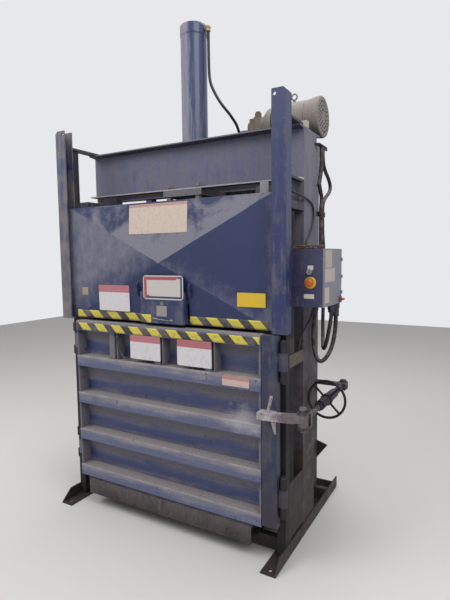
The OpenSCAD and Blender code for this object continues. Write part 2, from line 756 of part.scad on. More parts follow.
// Fan cover: a flared shell with rings of round air holes in its end
module fan_cover() {
  shell = 3;
  color(grey) translate([motor_x1, motor_y, motor_z]) rotate([0, 90, 0]) difference() {
    rotate_extrude($fn = 96)
      polygon([[motor_r - shell, 0], [motor_r, 0], [motor_r + 2, 20], [fan_cover_r, 66],
               [fan_cover_r, cover_len - 10], [fan_cover_r - 4, cover_len - 3],
               [fan_cover_r - 11, cover_len], [0, cover_len], [0, cover_len - shell],
               [fan_cover_r - 13, cover_len - shell], [fan_cover_r - shell, cover_len - 14],
               [fan_cover_r - shell, 66], [motor_r - shell + 2, 20]]);
    for (i = [1:3], k = [0:7 * i + 2])
      rotate([0, 0, k * 360 / (7 * i + 3)]) translate([18 + 24 * i, 0, cover_len - shell - 1])
        cylinder(r = 7.5, h = shell + 2, $fn = 24);
  }
}

// Lifting eye on top of the motor
module lifting_eye() {
  z = motor_z + motor_r;
  color(steel) translate([motor_x0 + 122, motor_y, 0]) {
    translate([0, 0, z + 0.05]) cylinder(r = 11, h = 9.95);
    translate([0, 0, z + 10]) cylinder(r = 6, h = 10);
    translate([0, 0, z + 36]) rotate([90, 0, 0]) rotate_extrude() translate([18, 0]) circle(r = 5, $fn = 24);
  }
}

// Flat arm on the rear post, which holds the latch screw's rear pin
module rear_arm() {
  arm_t = 16;
  color(steel) difference() {
    linear_arm(arm_t);
    translate([screw_x, anchor_y, screw_z - arm_t]) cylinder(r = pin_r + fit, h = 2 * arm_t);
  }
}
module linear_arm(arm_t) {
  translate([0, 0, screw_z - arm_t / 2]) {
    block([rear_post_x + rear_post_w, screw_x], [anchor_y - 30, anchor_y + 30], [0, arm_t]);
    translate([screw_x, anchor_y, 0]) cylinder(r = 30, h = arm_t);
    block([rear_post_x + rear_post_w, rear_post_x + rear_post_w + 10], [rear_post_y0, anchor_y - 30],
          [0, arm_t]);
  }
}

// Headed pins of the two door hinges and the two latch hinges, and the nutted
// pin through the rear arm and the swivel's fork
module hinge_pins() {
  anchor_z = screw_z - 8 - fork_gap - fork_t;
  color(steel) for (at = [door_pivot, latch_pivot], z = hinge_z)
    translate([at[0], at[1], z]) {
      translate([0, 0, -8]) cylinder(r = pin_r, h = hinge_h + 8);
      translate([0, 0, hinge_h]) cylinder(r = pin_r + 5, h = 7);
    }
  color(grey) translate([screw_x, anchor_y, anchor_z]) {
    translate([0, 0, -14]) cylinder(r = pin_r, h = 16 + 2 * fork_gap + 2 * fork_t + 14);
    translate([0, 0, 16.3 + 2 * fork_gap + 2 * fork_t]) cylinder(r = 21, h = 13, $fn = 6);
    translate([0, 0, 16 + 2 * fork_gap + 2 * fork_t - 0.1]) cylinder(r = pin_r, h = 1);
    translate([0, 0, -12.3]) cylinder(r = 19, h = 12, $fn = 6);
  }
}

// Control box: a sheet shell, open on the side that its cover closes
module control_box() {
  x1 = ctrl_x0 + ctrl_w - cover_t;
  color(blue) difference() {
    block([ctrl_x0, x1], [ctrl_y0, ctrl_y1], [ctrl_z, ctrl_z1]);
    block([ctrl_x0 + ctrl_wall, x1 + 1], [ctrl_y0 + ctrl_wall, ctrl_y1 - ctrl_wall],
          [ctrl_z + ctrl_wall, ctrl_z1 - ctrl_wall]);
    translate([stop_at[0], ctrl_y0 - 1, stop_at[1]]) rotate([-90, 0, 0]) cylinder(r = 11 + fit, h = 10);
    translate([key_at[0], ctrl_y0 - 1, key_at[1]]) rotate([-90, 0, 0]) cylinder(r = 11 + fit, h = 10);
  }
}

// Cover on the box's right side: a folded tray, with three clamps on its rear edge
module box_cover() {
  x1 = ctrl_x0 + ctrl_w;
  x0 = x1 - cover_t;
  color(grey) {
    difference() {
      block([x0, x1], [ctrl_y0, ctrl_y1], [ctrl_z, ctrl_z1]);
      translate([x0 - 1, knob_at[0], knob_at[1]]) rotate([0, 90, 0]) cylinder(r = 8 + fit, h = cover_t + 2);
    }
    for (z = [ctrl_z + 60, ctrl_z + 150, ctrl_z + 245])
      translate([x1, ctrl_y1 - 16, z - 9]) cube([7, 15.5, 18]);
  }
}

// Yellow collar round the stop button
module stop_collar() {
  color([0.88, 0.70, 0.13]) translate([stop_at[0], ctrl_y0, stop_at[1]]) rotate([90, 0, 0])
    rotate_extrude() polygon([[12, 0], [31, 0], [31, 3], [27, 6], [12, 6]]);
}

// Flexible conduits and thin control cables, all held at both ends
module conduits() {
  color([0.30, 0.25, 0.24]) {
    sweep(smooth(conduit_a), conduit_r);
    sweep(smooth(conduit_b), conduit_r - 1);
  }
}
module control_cables() {
  color(black) {
    sweep(smooth(cable_low), 5, 8);
    sweep(smooth(cable_high), 5.5, 8);
  }
}

// Fittings of the box and its conduits: the strips between the box's back and
// the column, the top bracket, a strut with two clamps, and the hubs under the
// box with their lock rings
module conduit_fittings() {
  strut_y1 = 255;
  clamp_z = 1918;
  color([0.24, 0.21, 0.21]) {
    for (z = [ctrl_z + 40, ctrl_z + ctrl_h - 60])
      block([half_w, ctrl_x0], [column_y0 + 4, ctrl_y1 - 10], [z, z + 30]);
    linear_extrude_at(conduit_a[0][2], 6)
      polygon([[half_w, column_y1 - 40], [half_w + 28, column_y1 - 20], [half_w + 28, column_y1 + 120],
               [half_w + 5, column_y1 + 202], [half_w, column_y1 + 202]]);
    block([half_w - 20, half_w], [column_y1, strut_y1], [clamp_z - 3, clamp_z + 22]);
    for (p = [conduit_a[9], conduit_b[10]])
      translate([p[0], p[1], clamp_z]) ring(conduit_r + 3.3, conduit_r + 0.3, 18);
    for (p = [conduit_a[len(conduit_a) - 1], conduit_b[len(conduit_b) - 1]])
      translate([p[0], p[1], p[2]]) {
        cylinder(r = 18, h = ctrl_z - p[2]);
        translate([0, 0, ctrl_z - p[2] - 30]) cylinder(r = 22, h = 30, $fn = 8);
      }
  }
}
module linear_extrude_at(z, h) {
  translate([0, 0, z]) linear_extrude(h) children();
}

// Chain that lies along the front edge of the box's top, its links a quarter
// turn apart
module box_chain() {
  wire = 3.4;
  half = 8.6;
  r = 8.6;
  pitch = 26;
  color([0.40, 0.28, 0.24]) for (i = [0:5])
    translate([ctrl_x0 + 24 + i * pitch, ctrl_y0 + 14, ctrl_z1 + 0.7072 * r + wire])
      rotate([i % 2 == 0 ? 45 : -45, 0, 0]) {
        for (s = [-1, 1]) {
          translate([s * half, 0, 0]) rotate([0, 0, s < 0 ? 90 : -90])
            rotate_extrude(angle = 180, $fn = 32) translate([r, 0]) circle(r = wire, $fn = 16);
          translate([-half, s * r, 0]) rotate([0, 90, 0]) cylinder(r = wire, h = 2 * half, $fn = 16);
        }
      }
}

// Motor shaft and its six-blade fan
module motor_rotor() {
  color(steel) translate([0, motor_y, motor_z]) rotate([0, 90, 0]) {
    translate([0, 0, bell_x0 - 50]) cylinder(r = shaft_r, h = motor_x1 + 60 - bell_x0 + 50);
    translate([0, 0, motor_x1 + 14]) cylinder(r = 30, h = 40);
    for (k = [0:5])
      rotate([0, 0, k * 60]) translate([26, -2, motor_x1 + 16]) cube([72, 4, 36]);
  }
}

// Mushroom head and stem of the stop button
module stop_button() {
  color([0.75, 0.16, 0.10]) translate([stop_at[0], ctrl_y0, stop_at[1]]) rotate([90, 0, 0]) rotate_extrude()
    polygon([[0, -40], [11, -40], [11, 14], [20, 16], [20, 24], [15, 29], [0, 31]]);
}

// Key switch: a barrel through the box's front and a turning lever
module key_switch() {
  color(grey) translate([key_at[0], ctrl_y0, key_at[1]]) rotate([90, 0, 0]) difference() {
    union() {
      translate([0, 0, -30]) cylinder(r = 11, h = 30.3);
      translate([0, 0, 0.3]) cylinder(r = 15, h = 12);
      translate([-3, -14, 10]) cube([6, 28, 12]);
    }
    translate([-0.8, -5, 16]) cube([1.6, 10, 8]);
  }
}

// Red turning knob of the main switch, with its shaft through the cover
module disconnect_knob() {
  x1 = ctrl_x0 + ctrl_w;
  color([0.60, 0.13, 0.10]) translate([x1, knob_at[0], knob_at[1]]) rotate([0, 90, 0]) {
    translate([0, 0, -20]) cylinder(r = 8, h = 21);
    translate([0, 0, 0.3]) cylinder(r = 20, h = 8);
    translate([-5, -19, 8]) cube([10, 38, 16]);
  }
}

// Platen: four hollow pads with tie grooves between them, under one plate that
// two cross channels and two webs stiffen
module platen() {
  z1 = platen_z + pad_h;
  z2 = z1 + plate_h;
  wall = 8;
  edges = concat([-platen_half - tie_slot_w], tie_x, [platen_half + tie_slot_w]);
  color(blue) {
    along_y(platen_y0, platen_y1) {
      translate([-platen_half, z1]) square([2 * platen_half, plate_h]);
      for (i = [0:3])
        difference() {
          translate([edges[i] + tie_slot_w, platen_z])
            square([edges[i + 1] - edges[i] - 2 * tie_slot_w, pad_h]);
          translate([edges[i] + tie_slot_w + wall, platen_z + wall])
            square([edges[i + 1] - edges[i] - 2 * tie_slot_w - 2 * wall, pad_h - wall]);
        }
    }
    for (y = [cyl_y - 150, cyl_y + 100])
      along_x(-platen_half + 20, platen_half - 20) translate([y, z2]) channel(beam_h, 50, 8, 12);
    for (x = [-300, 288])
      along_x(x, x + 12) translate([cyl_y - 100, z2]) square([200, beam_h - 20]);
    block([-130, 130], [cyl_y - 142, cyl_y + 100], [z2 + beam_h - 20, z2 + beam_h]);
    block([-20, 20], [cyl_y - 142, cyl_y + 100], [z2, z2 + beam_h - 20]);
  }
}

// Piston rod with its foot flange and its piston
module piston_rod() {
  color([0.72, 0.72, 0.73]) translate([0, cyl_y, 0]) rotate_extrude($fn = 96)
    polygon([[0, rod_z0], [rod_flange_r, rod_z0], [rod_flange_r, rod_z0 + rod_flange_h],
             [rod_r + 12, rod_z0 + rod_flange_h], [rod_r, rod_z0 + rod_flange_h + 12],
             [rod_r, piston_top - piston_h], [bore_r - fit, piston_top - piston_h],
             [bore_r - fit, piston_top], [0, piston_top]]);
}

// Cross-broken sheet: a shallow pyramid with its creases from corner to corner
module broken_sheet(half, z0, z1, t, bulge) {
  zc = (z0 + z1) / 2;
  c = [[-half, z0], [half, z0], [half, z1], [-half, z1]];
  y = [gate_y - t / 2, gate_y + t / 2];
  pts = concat([for (p = c) [p[0], y[0], p[1]]], [for (p = c) [p[0], y[1], p[1]]],
               [[0, y[0] - bulge, zc], [0, y[1] - bulge, zc]]);
  polyhedron(pts, concat(
    [for (k = [0:3]) [(k + 1) % 4, k, 8]],
    [for (k = [0:3]) [4 + k, 4 + (k + 1) % 4, 9]],
    [for (k = [0:3]) [(k + 1) % 4, 4 + (k + 1) % 4, 4 + k, k]]));
}

// Gate: the sheet, its folded top and bottom edges, and a runner on each side
module gate_panel() {
  run_d = guide_d - 2 * guide_t - 8;
  half = guide_x0 - 4;
  color(blue) difference() {
    union() {
      broken_sheet(half, gate_z0 + 0, gate_z1, gate_t, gate_bulge);
      for (s = [-1, 1]) {
        block([s > 0 ? half : -gate_half, s > 0 ? gate_half : -half],
              [gate_y - gate_t / 2, gate_y + gate_t / 2], [gate_z0, gate_z1]);
        block([s > 0 ? gate_half - 12 : -gate_half, s > 0 ? gate_half : -gate_half + 12],
              [gate_y - run_d / 2, gate_y + run_d / 2], [gate_z0, gate_z1]);
      }
      for (z = [gate_z0, gate_z1 - gate_t])
        block([-half, half], [gate_y, guide_y1 - 2], [z, z + gate_t]);
    }
    for (x = slot_x)
      block([x, x + slot_w], [gate_y - 60, gate_y + 10], [slot_z, slot_z + slot_h]);
  }
}

// Cover in the middle of the gate: a folded plate with two grab ears
module gate_cover() {
  x0 = slot_x[0] + slot_w + 4;
  x1 = slot_x[1] - 4;
  y_face = guide_y0 - 10;
  y_back = gate_y - gate_t / 2;
  z0 = gate_z0 + 2;
  z1 = slot_z + slot_h + 70;
  t = 4;
  color(blue) difference() {
    union() {
      block([x0, x1], [y_face, y_face + t], [z0, z1]);
      for (x = [x0, x1 - t]) block([x, x + t], [y_face, y_back], [z0, z1]);
      for (x = [x0 - 34, x1 + 34 - t])
        along_x(x, x + t) polygon([[y_back, z1 - 50], [y_face + 4, z1 - 10], [y_face + 4, z1 + 40],
                                   [y_back, z1 + 60]]);
    }
    gate_space();
  }
}

// Space that the gate's sheet fills, with all that lies behind its front
module gate_space() {
  half = guide_x0 - 4;
  zc = (gate_z0 + gate_z1) / 2;
  y = gate_y - gate_t / 2;
  polyhedron([[-half, y, gate_z0], [half, y, gate_z0], [half, y, gate_z1], [-half, y, gate_z1],
              [0, y - gate_bulge, zc], [0, y + 60, zc]],
             [[1, 0, 4], [2, 1, 4], [3, 2, 4], [0, 3, 4], [0, 1, 5], [1, 2, 5], [2, 3, 5], [3, 0, 5]]);
}

// Door skin: the sheet behind the ribs and the strip behind the top rim
module door_skin() {
  color(blue) for (z = [[door_z0, bay_z0 + 4], [bay_z1 - 4, door_z1]])
    block([-door_half, door_half], [skin_y0, door_y1], z);
}

// Sheets of the door's top bay, with the tie slots between them
module bay_sheets() {
  edges = concat([-door_half], [for (x = tie_x) each [x - tie_slot_w / 2, x + tie_slot_w / 2]],
                 [door_half]);
  color(blue) for (i = [0:3])
    block([edges[2 * i], edges[2 * i + 1]], [skin_y0, door_y1], [bay_z0 + 4, bay_z1 - 4]);
}

// Ribs: four channels with their backs to the front and their toes on the
// skin, and the top rim, an angle whose upper leg runs back over the skin
module door_ribs() {
  toe = skin_y0 - door_y0;
  color(blue) for (i = [0:rib_count - 1])
    along_x(-door_half, door_half) translate([door_y0, door_z0 + i * rib_pitch]) channel(rib_h, toe, 6, 8);
  color(blue) translate([0, 0, bay_z1]) along_x(-door_half, door_half)
    polygon([[door_y0, 0], [door_y0 + 6, 0], [door_y0 + 6, rim_h - 8], [skin_y0, rim_h - 8],
             [skin_y0, rim_h], [door_y0, rim_h]]);
}

// Door frame: end plates between the ribs, and the moving knuckles of the hinges
module door_frame() {
  stile_t = 12;
  knuckle_z = knuckle_h + knuckle_gap;
  color(blue) difference() {
    union() {
      for (i = [0:rib_count - 1], s = [-1, 1])
        block([s > 0 ? door_half - stile_t : -door_half, s > 0 ? door_half : -door_half + stile_t],
              [door_y0 + 3, skin_y0],
              [door_z0 + i * rib_pitch + rib_h,
               i == rib_count - 1 ? bay_z1 : door_z0 + (i + 1) * rib_pitch]);
      for (z = hinge_z) {
        translate([door_pivot[0], door_pivot[1], z + knuckle_z])
          cylinder(r = knuckle_r, h = middle_h - 2 * knuckle_gap);
        block([door_pivot[0], -door_half], [door_pivot[1] + pin_r, door_pivot[1] + pin_r + 9],
              [z + knuckle_z, z + knuckle_z + middle_h - 2 * knuckle_gap]);
      }
    }
    for (z = hinge_z)
      translate([door_pivot[0], door_pivot[1], z]) cylinder(r = pin_r + fit, h = hinge_h);
  }
}

// Folded guides on both sides of each tie slot
module tie_guides() {
  color(blue) for (x = tie_x) {
    translate([x - tie_slot_w / 2, 0, bay_z0]) linear_extrude(bay_z1 - bay_z0)
      polygon([[-8, skin_y0], [-8, door_y0 + 17], [-44, door_y0 + 17], [-44, door_y0 + 9],
               [0, door_y0 + 9], [0, skin_y0]]);
    block([x + tie_slot_w / 2, x + tie_slot_w / 2 + 8], [door_y0 + 9, skin_y0], [bay_z0, bay_z1]);
  }
}

// Latch post: a square-cornered tube with the moving knuckles of its hinges
module latch_post() {
  wall = 8;
  z0 = door_z0 + 12;
  knuckle_z = knuckle_h + knuckle_gap;
  color(blue) difference() {
    union() {
      block([latch_x0, latch_x1], [door_y0, door_y0 + latch_d], [z0, door_z1]);
      for (z = hinge_z) {
        translate([latch_pivot[0], latch_pivot[1], z + knuckle_z])
          cylinder(r = knuckle_r, h = middle_h - 2 * knuckle_gap);
        block([latch_x1 - 2, latch_pivot[0]], [latch_pivot[1] - 20, latch_pivot[1] - pin_r - 2],
              [z + knuckle_z, z + knuckle_z + middle_h - 2 * knuckle_gap]);
      }
    }
    block([latch_x0 + wall, latch_x1 - wall], [door_y0 + wall, door_y0 + latch_d - wall],
          [z0 + wall, door_z1 - wall]);
    for (z = hinge_z)
      translate([latch_pivot[0], latch_pivot[1], z]) cylinder(r = pin_r + fit, h = hinge_h);
  }
}

// Lever: a tapered bar across the post's front, its eye and pin for the screw,
// a gusset below it and an upright peg on top
module latch_lever() {
  z0 = screw_z - 4;
  z1 = z0 + lever_h;
  color(steel) {
    translate([0, 0, z0]) linear_extrude(lever_h)
      polygon([[latch_x0, door_y0 - 0.05], [latch_x0, door_y0 - 62], [latch_x0 + 22, door_y0 - 68],
               [screw_x - 36, door_y0 - 48], [screw_x + 8, lever_pin_y - 26], [screw_x + 26, lever_pin_y],
               [screw_x, lever_pin_y + 26], [screw_x - 26, lever_pin_y + 8],
               [latch_x1 + 4, door_y0 - 14], [latch_x1 - 4, door_y0 - 0.05]]);
    translate([screw_x, lever_pin_y, screw_z - boss_h / 2]) cylinder(r = boss_r, h = boss_h);
    translate([screw_x, lever_pin_y, screw_z - 62]) cylinder(r = pin_r, h = 132);
    translate([screw_x, lever_pin_y, screw_z + 56]) cylinder(r = 20, h = 12, $fn = 6);
    along_x(latch_x1 - 16, latch_x1 - 4)
      polygon([[door_y0 - 0.05, z0 - 90], [door_y0 - 0.05, z0], [door_y0 - 46, z0]]);
    translate([latch_x0 + 50, door_y0 - 34, z1 - 2]) rotate([0, 14, 0]) cylinder(r = 8, h = 92);
  }
}

// Swivel: the fork on the rear arm, with the bearing collar of the tube
module screw_swivel() {
  z_in = 8 + fork_gap;
  color(steel) difference() {
    union() {
      for (z = [screw_z + z_in, screw_z - z_in - fork_t])
        translate([0, 0, z]) {
          block([screw_x - 30, screw_x + 30], [anchor_y - 46, anchor_y], [0, fork_t]);
          translate([screw_x, anchor_y, 0]) cylinder(r = 30, h = fork_t);
        }
      block([screw_x - 30, screw_x + 30], [anchor_y - 60, anchor_y - 40],
            [screw_z - z_in - fork_t, screw_z + z_in + fork_t]);
      translate([screw_x, tube_y1 + 8, screw_z]) rotate([-90, 0, 0])
        cylinder(r = 20, h = anchor_y - 50 - tube_y1 - 8);
      translate([screw_x, tube_y1 - 40, screw_z]) rotate([-90, 0, 0])
        cylinder(r = tube_r - 8 - fit, h = 60);
    }
    translate([screw_x, anchor_y, screw_z - 40]) cylinder(r = pin_r + fit, h = 80);
    translate([screw_x, tube_y1 - 60, screw_z]) rotate([-90, 0, 0]) cylinder(r = screw_r + 1, h = 90);
  }
}

// Threaded rod with the front fork, whose pin holes have clearance
module screw_rod() {
  z_in = boss_h / 2 + fork_gap;
  rod_end = tube_y0 + 150;
  color(steel) difference() {
    union() {
      for (z = [screw_z + z_in, screw_z - z_in - fork_t])
        translate([0, 0, z]) {
          block([screw_x - 30, screw_x + 30], [lever_pin_y, lever_pin_y + 54], [0, fork_t]);
          translate([screw_x, lever_pin_y, 0]) cylinder(r = 30, h = fork_t);
        }
      block([screw_x - 30, screw_x + 30], [lever_pin_y + 38, lever_pin_y + 60],
            [screw_z - z_in - fork_t, screw_z + z_in + fork_t]);
      translate([screw_x, lever_pin_y + 50, screw_z]) rotate([-90, 0, 0])
        cylinder(r = screw_r, h = rod_end - lever_pin_y - 50);
    }
    translate([screw_x, lever_pin_y, screw_z - 60]) cylinder(r = pin_r + open_play, h = 120);
  }
}

// Handwheel on its tube, with the nut in the tube's front end
module handwheel() {
  r = (wheel_d - wheel_rim) / 2;
  color(steel) translate([screw_x, 0, screw_z]) rotate([-90, 0, 0]) {
    difference() {
      union() {
        translate([0, 0, tube_y0]) cylinder(r = tube_r, h = tube_len);
        translate([0, 0, tube_y0 - 34]) cylinder(r = 24, h = 34, $fn = 6);
      }
      translate([0, 0, tube_y0 - 35]) cylinder(r = screw_r + fit, h = 80);
      translate([0, 0, tube_y0 + 40]) cylinder(r = tube_r - 8, h = tube_len);
    }
    translate([0, 0, wheel_y]) {
      rotate_extrude($fn = 96) translate([r, 0]) circle(r = wheel_rim / 2, $fn = 24);
      for (k = [0:3])
        rotate([0, 0, 45 + k * 90]) translate([tube_r - 2, 0, 0]) rotate([0, 90, 0])
          cylinder(r = 6.5, h = r - tube_r + 2, $fn = 24);
      translate([0, 0, -16]) ring(tube_r + 6, tube_r - 1, 32);
    }
  }
}

skid_left();
skid_right();
base_frame();
chamber_floor();
side_wall_left();
side_wall_right();
rear_wall();
column_left();
column_right();
corner_post_left();
corner_post_right();
rear_posts();
guide_post_left();
guide_post_right();
side_braces();
crosshead_front();
crosshead_rear();
cylinder_mount();
mount_bolts();
cylinder_barrel();
cylinder_gland();
port_fitting();
hydraulic_hose();
return_pipe();
deck_plate();
oil_reservoir();
valve_block();
solenoid_valve();
gear_pump();
pump_adapter();
motor_housing();
fan_cover();
lifting_eye();
rear_arm();
hinge_pins();
control_box();
box_cover();
stop_collar();
conduits();
control_cables();
conduit_fittings();
box_chain();
motor_rotor();
stop_button();
key_switch();
disconnect_knob();
platen();
piston_rod();
gate_panel();
gate_cover();
door_skin();
bay_sheets();
door_ribs();
door_frame();
tie_guides();
latch_post();
latch_lever();
screw_swivel();
screw_rod();
handwheel();
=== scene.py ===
import json
import math

import bpy
import numpy as np
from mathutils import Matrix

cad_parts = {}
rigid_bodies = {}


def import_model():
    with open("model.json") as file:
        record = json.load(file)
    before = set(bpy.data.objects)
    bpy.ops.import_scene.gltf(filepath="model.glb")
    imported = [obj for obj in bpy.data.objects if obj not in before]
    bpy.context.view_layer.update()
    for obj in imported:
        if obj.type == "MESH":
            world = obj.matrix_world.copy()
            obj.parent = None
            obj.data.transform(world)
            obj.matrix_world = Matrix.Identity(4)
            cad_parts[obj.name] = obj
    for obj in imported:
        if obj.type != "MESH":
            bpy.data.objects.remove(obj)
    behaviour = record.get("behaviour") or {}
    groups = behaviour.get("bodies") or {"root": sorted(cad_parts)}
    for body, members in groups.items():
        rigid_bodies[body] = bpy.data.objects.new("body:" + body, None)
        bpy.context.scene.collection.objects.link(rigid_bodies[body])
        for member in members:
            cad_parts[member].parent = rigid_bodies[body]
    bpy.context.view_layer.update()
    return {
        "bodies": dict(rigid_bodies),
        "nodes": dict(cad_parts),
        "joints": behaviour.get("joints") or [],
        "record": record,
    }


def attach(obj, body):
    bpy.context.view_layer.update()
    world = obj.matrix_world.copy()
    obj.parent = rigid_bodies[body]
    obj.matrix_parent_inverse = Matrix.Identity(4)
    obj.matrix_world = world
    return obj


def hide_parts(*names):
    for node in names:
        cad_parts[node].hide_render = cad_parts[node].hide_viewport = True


# The CAD's nodes come in at rest and in place, and this script dresses them.
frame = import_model()
node = frame["nodes"]


# The camera stands at a person's eye height, to the right of the machine's
# front, with a wide phone lens.
def placed(name, data):
    """A new object of the data, at the origin, in the scene."""
    made = bpy.data.objects.new(name, data)
    bpy.context.scene.collection.objects.link(made)
    return made


camera_data = bpy.data.cameras.new("view")
camera_data.sensor_width = 36
camera_data.lens = 27.98
camera = placed("view", camera_data)
camera.location = (1.7046, -2.6637, 1.6751)
camera.rotation_euler = [math.radians(a) for a in (84.636, 0.622, 29.518)]
bpy.context.scene.camera = camera
bpy.context.scene.view_settings.view_transform = "Standard"


# The room: a pale floor, a white surround that only the camera and glossy rays
# see, and three soft lamps that stand in for rows of bay lights.
def linear(hex_colour):
    """Turns an sRGB hex colour to linear: each channel by the sRGB curve."""
    parts = [int(hex_colour[i : i + 2], 16) / 255 for i in (1, 3, 5)]
    lin = [c / 12.92 if c <= 0.04045 else ((c + 0.055) / 1.055) ** 2.4 for c in parts]
    return (*lin, 1.0)


def add(mat, kind, feeds=None, **settings):
    """Adds one node to a material, with its settings and what feeds its sockets.

    What feeds a socket is a value, another node's socket, or a node that gives
    the first output it has in use.
    """
    new = mat.node_tree.nodes.new("ShaderNode" + kind)
    for key, value in settings.items():
        setattr(new, key, value)
    for key, value in (feeds or {}).items():
        if isinstance(value, bpy.types.Node):
            value = next(socket for socket in value.outputs if socket.enabled)
        if isinstance(value, bpy.types.NodeSocket):
            mat.node_tree.links.new(value, new.inputs[key])
        else:
            new.inputs[key].default_value = value
    return new


def bare_material(name):
    """A new material with an empty node tree."""
    mat = bpy.data.materials.new(name)
    mat.use_nodes = True
    mat.node_tree.nodes.clear()
    return mat


def grid_mesh(name, points, faces):
    """A smooth-shaded object from an (n, 3) array of points and an (m, 4) array of faces."""
    mesh = bpy.data.meshes.new(name)
    points = np.asarray(points, dtype=np.float32)
    faces = np.asarray(faces, dtype=np.int32)
    mesh.vertices.add(len(points))
    mesh.vertices.foreach_set("co", points.ravel())
    mesh.loops.add(faces.size)
    mesh.loops.foreach_set("vertex_index", faces.ravel())
    mesh.polygons.add(len(faces))
    mesh.polygons.foreach_set("loop_start", np.arange(0, faces.size, faces.shape[1]))
    mesh.polygons.foreach_set("use_smooth", np.ones(len(faces), dtype=bool))
    mesh.update(calc_edges=True)
    mesh.validate()
    return placed(name, mesh)


world = bpy.data.worlds.new("room")
bpy.context.scene.world = world
world.use_nodes = True
world.node_tree.nodes.clear()
rays = add(world, "LightPath")
seen = add(world, "Math", {0: rays.outputs["Is Camera Ray"], 1: rays.outputs["Is Glossy Ray"]},
           operation="MAXIMUM")
level = add(world, "MapRange", {"Value": seen, "To Min": 0.42, "To Max": 0.9})
sky = add(world, "Background", {"Color": linear("#f2f3f6"), "Strength": level})
add(world, "OutputWorld", {"Surface": sky})

screed = bare_material("pale screed")
screed_bsdf = add(screed, "BsdfPrincipled", {"Base Color": linear("#d9d7d3"), "Roughness": 0.85})
add(screed, "OutputMaterial", {"Surface": screed_bsdf})
floor = grid_mesh("floor", [(-9, -9, 0), (9, -9, 0), (9, 9, 0), (-9, 9, 0)], [(0, 1, 2, 3)])
floor.data.materials.append(screed)

for lamp_name, place, aim, size, power in (
    ("bay_left", (-2.6, -3.4, 5.2), (-0.1, -0.4, 1.3), 3.6, 150),
    ("bay_right", (3.4, -2.2, 4.6), (0.6, -0.1, 1.4), 3.0, 95),
    ("bay_top", (0.3, 0.8, 5.6), (0.0, 0.0, 1.0), 3.4, 120),
):
    lamp = bpy.data.lights.new(lamp_name, "AREA")
    lamp.size = size
    lamp.energy = power
    lamp_object = placed(lamp_name, lamp)
    lamp_object.location = place
    # A lamp shines along its own -Z, so it is turned from straight down to its aim
    away = np.subtract(place, aim)
    flat = math.hypot(away[0], away[1])
    lamp_object.rotation_euler = (math.atan2(flat, away[2]), 0, math.atan2(away[0], -away[1]))


# The hydraulic hose, the two flexible conduits and the two control cables. The
# hose is wire-braided rubber, matt and black. The others have a PVC jacket over
# their core, greyer with dust on top than below.
def smooth_route(route):
    """The route in metres, each corner cut at a quarter and three quarters, then once more."""
    path = np.array(route, dtype=float) / 1000
    for _ in range(2):
        near = 0.75 * path[:-1] + 0.25 * path[1:]
        far = 0.25 * path[:-1] + 0.75 * path[1:]
        path = np.vstack([path[:1], np.stack([near, far], 1).reshape(-1, 3), path[-1:]])
    return path


def tube_mesh(name, path, radius, sides=20):
    """A circle of the radius carried along a path, both in metres.

    Each ring's frame is the last one turned to the new direction, so that the
    tube doesn't twist, and the ends are closed by a point.
    """
    way = np.gradient(path, axis=0)
    way /= np.linalg.norm(way, axis=1)[:, None]
    first = np.cross(way[0], (0.3, 0.5, 0.8))
    across = np.empty_like(path)
    across[0] = first / np.linalg.norm(first)
    for i in range(1, len(path)):
        turned = across[i - 1] - way[i] * (across[i - 1] @ way[i])
        across[i] = turned / np.linalg.norm(turned)
    beside = np.cross(way, across)
    angle = np.linspace(0, 2 * np.pi, sides, endpoint=False)
    ring = (across[:, None] * np.cos(angle)[None, :, None]
            + beside[:, None] * np.sin(angle)[None, :, None])
    points = path[:, None] + radius * ring
    count = len(path)
    i, k = np.meshgrid(np.arange(count - 1), np.arange(sides), indexing="ij")
    a, b = i * sides + k, i * sides + (k + 1) % sides
    walls = np.stack([a, b, b + sides, a + sides], -1).reshape(-1, 4)
    tips = np.vstack([points.reshape(-1, 3), path[:1], path[-1:]])
    k = np.arange(sides)
    foot, top = count * sides, count * sides + 1
    last = (count - 1) * sides
    caps = np.vstack([
        np.stack([np.full(sides, foot), (k + 1) % sides, k, np.full(sides, foot)], -1),
        np.stack([np.full(sides, top), last + k, last + (k + 1) % sides, np.full(sides, top)], -1),
    ])
    mesh = bpy.data.meshes.new(name)
    mesh.from_pydata(tips.tolist(), [], walls.tolist() + caps[:, :3].tolist())
    mesh.polygons.foreach_set("use_smooth", np.ones(len(mesh.polygons), dtype=bool))
    return placed(name, mesh)


def jacket(name, fresh, dusty, roughness):
    """Rubber or PVC: the fresh colour under dust in a 40 mm noise, with a grain of 1 mm."""
    mat = bare_material(name)
    where = add(mat, "TexCoord").outputs["Object"]
    cloud = add(mat, "TexNoise", {"Vector": where, "Scale": 24.0, "Detail": 5.0})
    settled = add(mat, "SeparateXYZ", {0: add(mat, "NewGeometry").outputs["Normal"]})
    lift = add(mat, "Math", {0: settled.outputs["Z"], 1: 0.35, 2: cloud}, operation="MULTIPLY_ADD")
    dust = add(mat, "MapRange", {"Value": lift, "From Min": 0.42, "From Max": 0.78},
               interpolation_type="SMOOTHSTEP")
    colour = add(mat, "Mix", {0: dust, 6: linear(fresh), 7: linear(dusty)}, data_type="RGBA")
    fine = add(mat, "TexNoise", {"Vector": where, "Scale": 900.0, "Detail": 2.0})
    bump = add(mat, "Bump", {"Height": fine, "Strength": 0.15, "Distance": 0.0004})
    bsdf = add(mat, "BsdfPrincipled", {"Base Color": colour, "Roughness": roughness,
                                       "Normal": bump})
    add(mat, "OutputMaterial", {"Surface": bsdf})
    return mat


